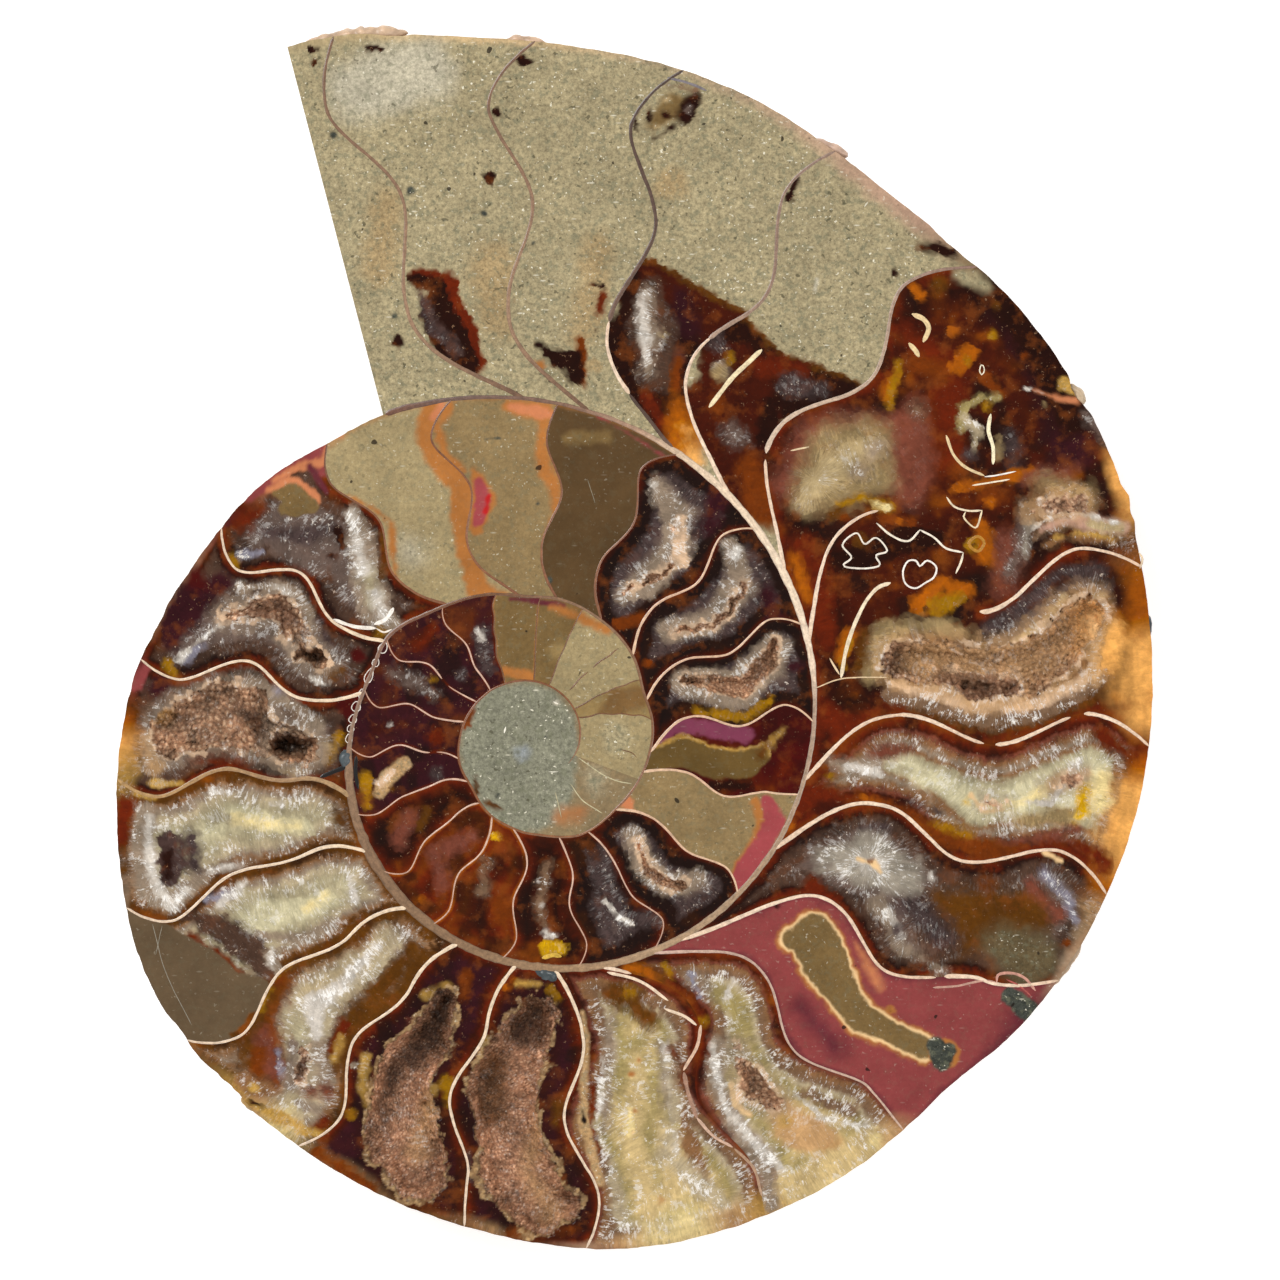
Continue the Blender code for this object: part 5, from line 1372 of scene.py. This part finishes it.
# loose bits of shell: width, colour, points; the first and last points meet in the rings
shards = [
    (0.8, "#E6D2A8", (28, 47.9), (24.5, 44.6), (21.5, 40.8)),
    (0.8, "#DCC090", (46.4, 52.3), (47.9, 51.6), (48.5, 50.4), (47.8, 48.8)),
    (0.9, "#E0C694", (46, 48.7), (46.8, 47.8), (47.3, 47)),
    (0.2, "#E8DCC0", (54.7, 45.4), (55, 46.1), (55.3, 45.4), (55, 44.8), (54.7, 45.4)),
    (0.6, "#F0E2BC", (56.1, 40), (55.8, 38), (56.4, 35.8), (56.4, 33.8)),
    (0.5, "#DCC294", (50.6, 37.4), (51.4, 35.2), (52.9, 33.5), (55.3, 32.4)),
    (0.25, "#F2ECE0", (55.3, 32.3), (57, 32.5), (59.2, 33)),
    (0.3, "#EEDFC2", (53.8, 31.2), (56, 31.6), (58.4, 32)),
    (0.35, "#E8D6B6", (50.6, 29.8), (51.6, 28.6), (53.4, 28.1), (55, 28.2)),
    (0.3, "#E0CBA4", (55, 28.2), (54.3, 26), (52.8, 27.2), (53, 28)),
    (0.5, "#B07A26", (53.4, 24), (54.4, 25), (55.3, 24.2), (54.5, 23.1), (53.4, 24)),
    (0.35, "#EDE0CC", (47.4, 25.8), (49, 24.9), (50.6, 23.5), (52.7, 23)),
    (0.35, "#E8D8BC", (52.7, 23), (52.4, 21.8), (51.8, 20.4)),
    (0.3, "#F0E6DA", (45.3, 20.6), (45.9, 21.9), (46.9, 22), (47.4, 21.3), (48.3, 22), (49.4, 21.2),
        (49.1, 20), (48.1, 19.3), (46.8, 18.6), (45.6, 19.2), (45.3, 20.6)),
    (0.3, "#E8DCCB", (37.9, 24), (39, 22.4), (38, 21.4), (40, 21), (42.4, 21.4), (42, 22.6), (43.4, 23.2),
        (42, 24.8), (40.6, 24), (39.6, 25.4), (37.9, 24)),
    (0.35, "#E9DCC6", (42, 26.6), (44, 25), (46, 24.4), (47.4, 25.8)),
    (0.3, "#D8BE96", (31.5, 35.5), (33.8, 36)), (0.2, "#D9BC94", (34.5, 6.3), (37.8, 7.5), (43.4, 7.7)),
    (0.35, "#E0C49C", (36.3, 10), (37.5, 8)),
    (0.62, "#E6D2B2", (37.7, 7.6), (38.6, 12), (40.2, 16), (42, 18.5), (43.8, 19.3)),
    # what is left of partition 12, a pinkish crumbling line towards the rim
    (0.5, "#E6CCB0", (9, -28.5), (13, -29.6), (16.5, -32)),
    (0.5, "#E6CCB0", (16, -33), (18.4, -33.9), (20, -35)),
    (0.55, "#D2AE92", (20.5, -35), (20, -37.6), (18.4, -40.6)),
    (0.7, "#A07A64", (18.4, -40.8), (19, -43.6), (20, -46.4)),
    (0.5, "#C8A48C", (20, -46.4), (22, -48.6), (24.4, -50)),
    (0.5, "#A8866A", (24.6, -50.2), (27, -52.6), (28, -56)),
    (0.3, "#E2C8A4", (74.4, 21), (74.7, 22.2), (74.2, 23)),
    # crust on the outer half of partition 10, and the loop that it ends in
    (0.4, "#B98E7C", (49, -30.4), (52, -30.2), (55, -29.6), (56.8, -29.8)),
    (0.45, "#C08A78", (56.8, -29.8), (57, -28.8), (58.6, -28.6), (60.2, -29.2), (61.6, -30.8)),
    (0.3, "#A85048", (58, -29.4), (59.6, -30.2), (61, -31.4)),
    # broken bits along the left wall
    (0.6, "#EFE4D6", (-24.6, 14.8), (-22, 13.9), (-19.4, 13.7)),
    (0.7, "#F0E6DA", (-19.6, 14.2), (-18.2, 14.8), (-17.2, 16.2)),
    (0.3, "#EADCCB", (-19.4, 13.7), (-18.4, 13.2), (-17.4, 13.6)),
    # slots and nodules where the wall has opened; the near-black slots are painted shade in the open gaps
    (0.7, "#0D0806", (-3.6, -27.1), (-2, -27.5), (-0.2, -27.9)),
    (1.5, "#3A4244", (0.2, -28.4), (1.5, -28.8), (2.8, -29.4)),
    (0.7, "#0D0806", (-26.2, -4.6), (-24.4, -3.8), (-22.8, -3.2)),
    (1.5, "#434B4E", (-23.2, -1.2), (-23.2, -2.6), (-22.8, -3.6)),
    (0.6, "#0D0806", (-21.8, -2), (-21.9, -4), (-21.6, -6)), (0.5, "#0D0806", (-37.8, -3.6), (-36.4, -3.6)),
    (0.8, "#C9A23C", (1, -26.8), (2.4, -26.4), (3.4, -26.6)),
    # fine scratches in the polished mud, and cracks by the heart of the coil
    (0.14, "#8A8170", (-46.8, -22.6), (-45, -29), (-42, -35)),
    (0.12, "#8A8170", (-45.6, -22.8), (-46.4, -26.4)), (0.12, "#8F8570", (6.6, 32), (7.5, 29)),
    (0.16, "#6A4A2E", (10.6, -1.2), (12, -1.6), (12.6, -2.2)),
    (0.18, "#BFB38E", (5.5, -2.2), (8, -4), (10, -5), (12, -5.4)),
    (0.18, "#BFB38E", (4.5, -5.4), (6, -7.4), (8.4, -9)),
    (0.16, "#B8AC88", (2.6, -6.4), (3, -8), (3.4, -9.6)),
    # white and dark scraps in the siltstone
    (0.4, "#E6E0CE", (-3.4, 1.6), (-3.6, 0.8)), (0.25, "#D8D2BE", (1.8, -3.9), (3, -3.9)),
    (0.3, "#E0D8C0", (-5.6, -4.6), (-5.2, -4.9)), (0.5, "#E8E0CC", (2.4, 4.7), (3, 4.4)),
    (0.35, "#DAD2BA", (40.6, 65.4), (41, 66)), (0.45, "#7A7274", (16.4, 81.3), (18.8, 80.7), (21.2, 79.7)),
]
# little rings of the siphon tube along the outside of the wall: place, half width and half length
tubeRings = (
    (-18.5, 11.3, 0.5, 0.7), (-19.4, 9.5, 0.42, 0.55), (-20.2, 7.9, 0.42, 0.95), (-21.2, 5.7, 0.3, 0.6),
    (-21.8, 4.1, 0.5, 0.62), (-22.2, 2.6, 0.45, 0.55), (-22.5, 1.4, 0.38, 0.45), (-22.7, 0.2, 0.4, 0.6),
)


def shardRibbons():
    bits = []
    for index, (width, colour, *points) in enumerate(shards):
        stops = ((0, width, colour), (1, width, colour))
        bits.append(ribbonSheet(smoothLine(points), stops, ribbon["shardRise"], 200 + index))
    for index, (ringX, ringY, halfWide, halfLong) in enumerate(tubeRings):
        turns = np.linspace(0, 2 * math.pi, 11)
        bearing = math.atan2(ringY, ringX)
        out, along = halfWide * np.cos(turns) * (1 + 0.35 * np.sin(turns)), halfLong * np.sin(turns)
        ring = list(zip(ringX + out * math.cos(bearing) - along * math.sin(bearing),
                        ringY + out * math.sin(bearing) + along * math.cos(bearing)))
        ring[-1] = ring[0]
        stops = ((0, 0.16, "#E6DCCF"), (1, 0.16, "#D8CCC0"))
        bits.append(ribbonSheet(smoothLine(ring), stops, ribbon["shardRise"], 300 + index))
    return bits


# the wall between turns: wound, width, colour
wallStops = [
    (354.9, 1, "#6E4A38"), (366, 0.6, "#6A5248"), (385, 0.55, "#7E5E4C"), (398, 0.7, "#A8866E"),
    (410, 1, "#DCC2A4"), (440, 1.15, "#E6CFB4"), (455, 0.9, "#E0C6AC"), (462, 0.6, "#A88D78"),
    (500, 0.8, "#A08468"), (530, 1.1, "#A88A6A"), (548, 1.2, "#9C7C5C"), (575, 1.3, "#86684C"),
    (610, 1.5, "#806248"), (640, 1.2, "#8A6C52"), (652, 0.6, "#8A6E5A"), (690, 0.55, "#7A5440"),
    (720, 0.45, "#6A4428"), (760, 0.4, "#8A6A50"), (820, 0.4, "#7A5236"), (900, 0.35, "#8A5A38"),
    (1000, 0.35, "#7A4A2A"), (1100, 0.3, "#7A4A2A"), (1190, 0.25, "#8A5A3A"), (1225, 0.12, "#8A6A4A"),
]


def wallRibbon():
    wound = np.linspace(wallStops[0][0], wallStops[-1][0], 1600)
    line = np.column_stack(polarSpot(wound, coilRadius(wound)))
    travel = travelAlong(line)
    shares = np.interp([stop[0] for stop in wallStops], wound, travel / travel[-1])
    stops = [(share, width, colour) for share, (_, width, colour) in zip(shares, wallStops)]
    return ribbonSheet(line, stops, ribbon["wallRise"], 77)


# the domed back and flank: brown and cream shell crossed by dark suture lines
flank = {
    # mm of stone under the face at the mouth, how that follows the turns, and the shape of a turn's section
    "depth": 20.0, "growth": 0.35, "shoulder": 0.40, "umbilicus": 0.20, "fall": 0.35, "roundness": 2.4,
    "ventral": 0.62, "navelDepth": 7.5, "blend": 2.2, "lean": -0.002,
    # ribs: degrees from one to the next, mm high, degrees that they sweep back
    "ribDegrees": 6.5, "ribHeight": 0.28, "ribSweep": 9.0,
    "columns": 780, "rows": 124, "navelShare": 0.2, "crowding": 1.5,
    "tan": "#A07850", "brown": "#6E4328", "cream": "#CDB086", "grey": "#8A8070", "suture": "#3A2216",
}


def flankDepth(wound, radius, y):
    # depth of stone under the cut face, with the turn that shows there
    # and how far out on that turn the place lies
    depth = np.where(radius < coil["navel"], flank["navelDepth"], 0.0)
    best, shownWound, shownShare = np.zeros(radius.shape), wound + 1080.0, np.zeros(radius.shape)
    for turn in (3, 2, 1, 0):
        outer = coilRadius(wound + 360.0 * turn)
        share = radius / outer
        out = np.clip((share - flank["shoulder"]) / (1 - flank["shoulder"]), 0, 1)
        inward = (flank["shoulder"] - share) / (flank["shoulder"] - flank["umbilicus"])
        profile = np.where(share > flank["shoulder"], (1 - out ** flank["roundness"]) ** flank["ventral"],
                           1 - flank["fall"] * inward ** 2)
        swept = wound + 360 * turn + flank["ribSweep"] * np.sin(3.2 * share)
        rib = np.sin(2 * math.pi * swept / flank["ribDegrees"])
        rib = rib * flank["ribHeight"] * (outer / coil["start"])
        rib = rib * ease(0.35, 0.6, share) * ease(1.0, 0.93, share)
        height = flank["depth"] * (outer / coil["start"]) ** flank["growth"] * profile + rib
        height = np.where(share < 1, height, -9.0)
        overlap = np.clip(flank["blend"] - np.abs(depth - height), 0, None) / flank["blend"]
        merged = np.maximum(depth, height) + overlap ** 2 * flank["blend"] / 4
        merged = np.where(depth > 0, merged, height)
        depth = np.where(share < 1, merged, depth)
        shows = (height > best) & (share < 1)
        best = np.where(shows, height, best)
        shownWound = np.where(shows, wound + 360.0 * turn, shownWound)
        shownShare = np.where(shows, share, shownShare)
    return depth * (1 + flank["lean"] * y), shownWound, shownShare


def shellPaint(x, y, radius, wound, share):
    tints = {key: np.array(linearColour(flank[key])) for key in ("tan", "brown", "cream", "grey", "suture")}
    fill = np.tile(tints["tan"], (len(x), 1))
    mixIn(fill, tints["brown"], ease(0.42, 0.62, layeredNoise(x / 9.0, y / 9.0, 501, 4)))
    streak = layeredNoise(wound / 2.2 + 4 * share, share * 3.0, 502)
    mixIn(fill, tints["cream"], ease(0.55, 0.75, streak) * 0.6)
    mixIn(fill, tints["grey"], ease(0.6, 0.72, layeredNoise(x / 14, y / 14, 503)) * 0.7)
    lobes = 4.2 * np.sin(9.5 * share + 0.4) + 1.5 * np.sin(31 * share) + 0.7 * np.sin(77 * share + 1)
    nearest = np.full(x.shape, 9.0)
    for number in range(1, 40):
        head = partitions[number][4]
        gap = np.abs(wound - head - lobes * (0.7 + 0.3 * share)) * math.pi / 180 * radius
        nearest = np.minimum(nearest, gap)
    line = ease(0.75, 0.3, nearest) * ease(0.3, 0.4, share) * ease(0.99, 0.95, share)
    mixIn(fill, tints["suture"], line * 0.85)
    return fill


def flankSheet():
    def bend(around, along):
        outer = coilRadius(360.0 * around)
        for _ in range(4):
            outer = coilRadius(360.0 * around + cutWound(outer))
        out = np.clip((along - flank["navelShare"]) / (1 - flank["navelShare"]), 0, 1)
        ring = coil["navel"] + (outer - coil["navel"]) * (1 - (1 - out) ** flank["crowding"])
        radius = np.where(along <= flank["navelShare"], coil["navel"] * along / flank["navelShare"], ring)
        wound = 360.0 * around + cutWound(radius)
        x, y = polarSpot(wound, radius)
        depth, shownWound, shownShare = flankDepth(wound, radius, y - poleY)
        depth = np.where(along > 0.9999, 0.0, depth)
        fill = shellPaint(x, y, radius, shownWound, shownShare)
        values = {"tint": np.column_stack([fill, np.ones(len(x))])}
        return np.column_stack([x, y, faceLevel - depth]), values

    return flank["columns"], flank["rows"], bend


# the sawn mouth: siltstone inside a rim of shell
mouth = {"low": 18.3, "columns": 240, "rows": 50, "shellWidth": 1.0}


def mouthSheet():
    def bend(across, up):
        low, high = mouth["low"], float(coilRadius(cutWound(np.array([90.0])))[0])
        radius = low + (high - low) * across
        wound = cutWound(radius)
        x, y = polarSpot(wound, radius)
        bottom, _, _ = flankDepth(wound, radius, y - poleY)
        inner, _, _ = flankDepth(wound + 360.0, radius, y - poleY)
        top = np.where(radius < coilRadius(wound + 360.0), inner, 0.0)
        bottom = np.where(across > 0.9999, 0.0, np.maximum(bottom, top))
        depth = top + (bottom - top) * (1 - up)
        fill = np.tile(stoneTable["silt"], (len(x), 1))
        inward = np.minimum(bottom - depth, (high - radius) * 1.5)
        mixIn(fill, stoneTable["brownTan"], ease(mouth["shellWidth"], 0.5, inward))
        values = {
            "tint": np.column_stack([fill[:, :3], np.full(len(x), 0.5)]),
            "comb": np.column_stack([radius, depth, 0 * depth]),
            "make": fill[:, 3:6],
        }
        return np.column_stack([x, y, faceLevel - depth]), values

    return mouth["columns"], mouth["rows"], bend


# fossil shell left as it was found and only brushed clean: a soft sheen over brown and cream,
# broken by growth streaks and by pits of about a millimetre
def shellBackMaterial():
    material, add, shader = newMaterial("fossilShellFlank")
    tint = add("Attribute", (), "Color", attribute_name="tint")
    place = add("TexCoord", (), "Object")
    clouds = add("TexNoise", {"Vector": place, "Scale": 240.0, "Detail": 6.0, "Roughness": 0.65})
    clouds = add("MapRange", (clouds, 0.3, 0.7, 0.75, 1.25))
    pits = add("TexNoise", {"Vector": place, "Scale": 1400.0, "Detail": 3.0, "Roughness": 0.6})
    pits = add("MapRange", (pits, 0.3, 0.7, 0.85, 1.12))
    gain = add("Math", (clouds, pits), **times)
    colour = add("VectorMath", {0: tint, "Scale": gain}, **scaled)
    setInputs(shader, {"Base Color": colour, "Roughness": 0.34})
    return material


# crust and dark lumps on the rim: colour, thickness, drop under the face, points
lumps = [
    ("#BFA184", 1.5, 0.9, (-28.2, 85.4), (-24, 86.3), (-19.5, 86.9), (-15.4, 86.8)),
    ("#C4A488", 1.1, 0.7, (-4, 85.6), (-1.5, 86), (2, 85.2)),
    ("#B89A86", 1.2, 0.8, (33.6, 73.8), (36.4, 72.8), (38.6, 71.6)),
    ("#C9B090", 1.4, 0.9, (65.6, 43.6), (66.8, 42.6), (67.6, 41.2)),
    ("#2E363A", 1.9, 2.4, (74.9, 15.4), (75.2, 13.8), (74.8, 12.2)),
    ("#3A4244", 1.5, 0.5, (0.4, -28.5), (1.6, -28.8), (2.9, -29.3)),
    ("#434B4E", 1.6, 0.5, (-23.1, -1.4), (-23.1, -2.6), (-22.9, -3.5)),
    ("#B39A7C", 1, 0.8, (-42.8, 18.9), (-42, 20.1), (-40.7, 21.6)),
    ("#AE8A50", 1.2, 0.8, (-36, -44), (-32.6, -46.4), (-28.7, -48.2)),
    ("#9A8064", 1.1, 0.9, (67.2, -25), (65, -28.2), (62.4, -31.2)),
]


def lumpSheet(colour, thick, drop, points, seed):
    # a rough sausage along a line, thickest in the middle
    line = smoothLine(points)
    travel = travelAlong(line)
    total = travel[-1]

    def bend(along, turn):
        here = along * total
        x, y = spotOn(line, travel, here)
        aheadX, aheadY = spotOn(line, travel, here + 0.3)
        behindX, behindY = spotOn(line, travel, here - 0.3)
        dx, dy = aheadX - behindX, aheadY - behindY
        size = np.maximum(np.hypot(dx, dy), 1e-9)
        swell = np.sqrt(np.clip(1 - (2 * along - 1) ** 4, 0, 1))
        angle = 2 * math.pi * turn
        rough = layeredNoise(here / 0.9, np.cos(angle) * 1.1 + np.sin(angle) * 0.7 + 9, seed)
        radius = thick / 2 * swell * (0.55 + 0.9 * rough)
        side, rise = radius * np.cos(angle), radius * np.sin(angle)
        # painted shade and light: the lump is darker where it is thin and lighter where it bulges
        litAndShadedColour = np.array(linearColour(colour)) * (0.6 + 0.8 * rough)[:, None]
        values = {"tint": np.column_stack([litAndShadedColour, np.ones(len(x))])}
        x, y = x - dy / size * side, y + dx / size * side
        return np.column_stack([x, y, faceLevel - drop + rise]), values

    return max(8, int(total / 0.25)), 20, bend


# camera, light and floor
studio = {
    "viewWidth": 157.1, "distance": 900.0, "aim": (0.67, 0.12), "world": 0.5, "floorHalf": 1500.0,
    # name, place and size in metres, watts
    "lamps": (("key", (-0.42, 0.42, 0.75), 0.45, 5.6), ("fill", (0.55, -0.2, 0.6), 0.6, 2.2),
              ("low", (0.05, -0.65, 0.4), 0.5, 1.0)),
}


# plain white paper, matt and evenly lit: it stays white right up to the stone
def paperMaterial():
    material, _, shader = newMaterial("whitePaper")
    setInputs(shader, {"Base Color": "#F6F6F6", "Roughness": 0.8,
                       "Emission Color": (1, 1, 1, 1), "Emission Strength": 0.4})
    return material


def stageScene():
    camera = bpy.data.cameras.new("camera")
    holder = placeObject("camera", camera)
    bpy.context.scene.camera = holder
    camera.sensor_width = 36.0
    camera.lens = camera.sensor_width * studio["distance"] / studio["viewWidth"]
    camera.clip_end = 20.0
    holder.location = (studio["aim"][0] * mm, studio["aim"][1] * mm, (faceLevel + studio["distance"]) * mm)
    for name, place, size, power in studio["lamps"]:
        lamp = bpy.data.lights.new(name, "AREA")
        lamp.size = size
        lamp.energy = power
        item = placeObject(name, lamp)
        item.location = place
        item.rotation_euler = (-Vector(place)).to_track_quat("-Z", "Y").to_euler()
    world = bpy.data.worlds.new("studio")
    bpy.context.scene.world = world
    world.use_nodes = True
    setInputs(world.node_tree.nodes["Background"], {"Color": (1, 1, 1, 1), "Strength": studio["world"]})
    bpy.context.scene.view_settings.view_transform = "Standard"
    shape = bmesh.new()
    bmesh.ops.create_grid(shape, x_segments=1, y_segments=1, size=studio["floorHalf"] * mm)
    mesh = bpy.data.meshes.new("floor")
    shape.to_mesh(mesh)
    shape.free()
    mesh.materials.append(paperMaterial())
    floor = placeObject("floor", mesh)
    print("studio with", len(studio["lamps"]), "lamps")


stageScene()

# the chambers go into pieces of an even size
groups = {
    "chamber_fills_a": [0, 13], "chamber_fills_b": [1, 8, 14], "chamber_fills_c": [2, 15, 20],
    "chamber_fills_d": [3, 10], "chamber_fills_e": [4, 11, 18], "chamber_fills_f": [5],
    "chamber_fills_g": [9, 12, 16, 22], "chamber_fills_h": [17, 19, 21, 23],
    "inner_fills_a": range(24, 31), "inner_fills_b": range(31, 46),
}
cutFace = cutFaceMaterial()
for name, numbers in groups.items():
    sheets = [chamberSheet(number) for number in numbers]
    if name == "inner_fills_b":
        sheets.append(heartSheet())
    makePiece(name, sheets, cutFace)

cutShell = shellMaterial()
makePiece("partitions", partitionRibbons(), cutShell)
makePiece("shell_fragments", shardRibbons(), cutShell)
makePiece("coil_wall", [wallRibbon()], cutShell)

outerShell = shellBackMaterial()
makePiece("shell_flank", [flankSheet()], outerShell, flip=True, weld=True)
makePiece("mouth_section", [mouthSheet()], cutFace, flip=True)
crumbs = [lumpSheet(colour, thick, drop, points, 600 + index)
          for index, (colour, thick, drop, *points) in enumerate(lumps)]
makePiece("rim_crust", crumbs, outerShell, weld=True)
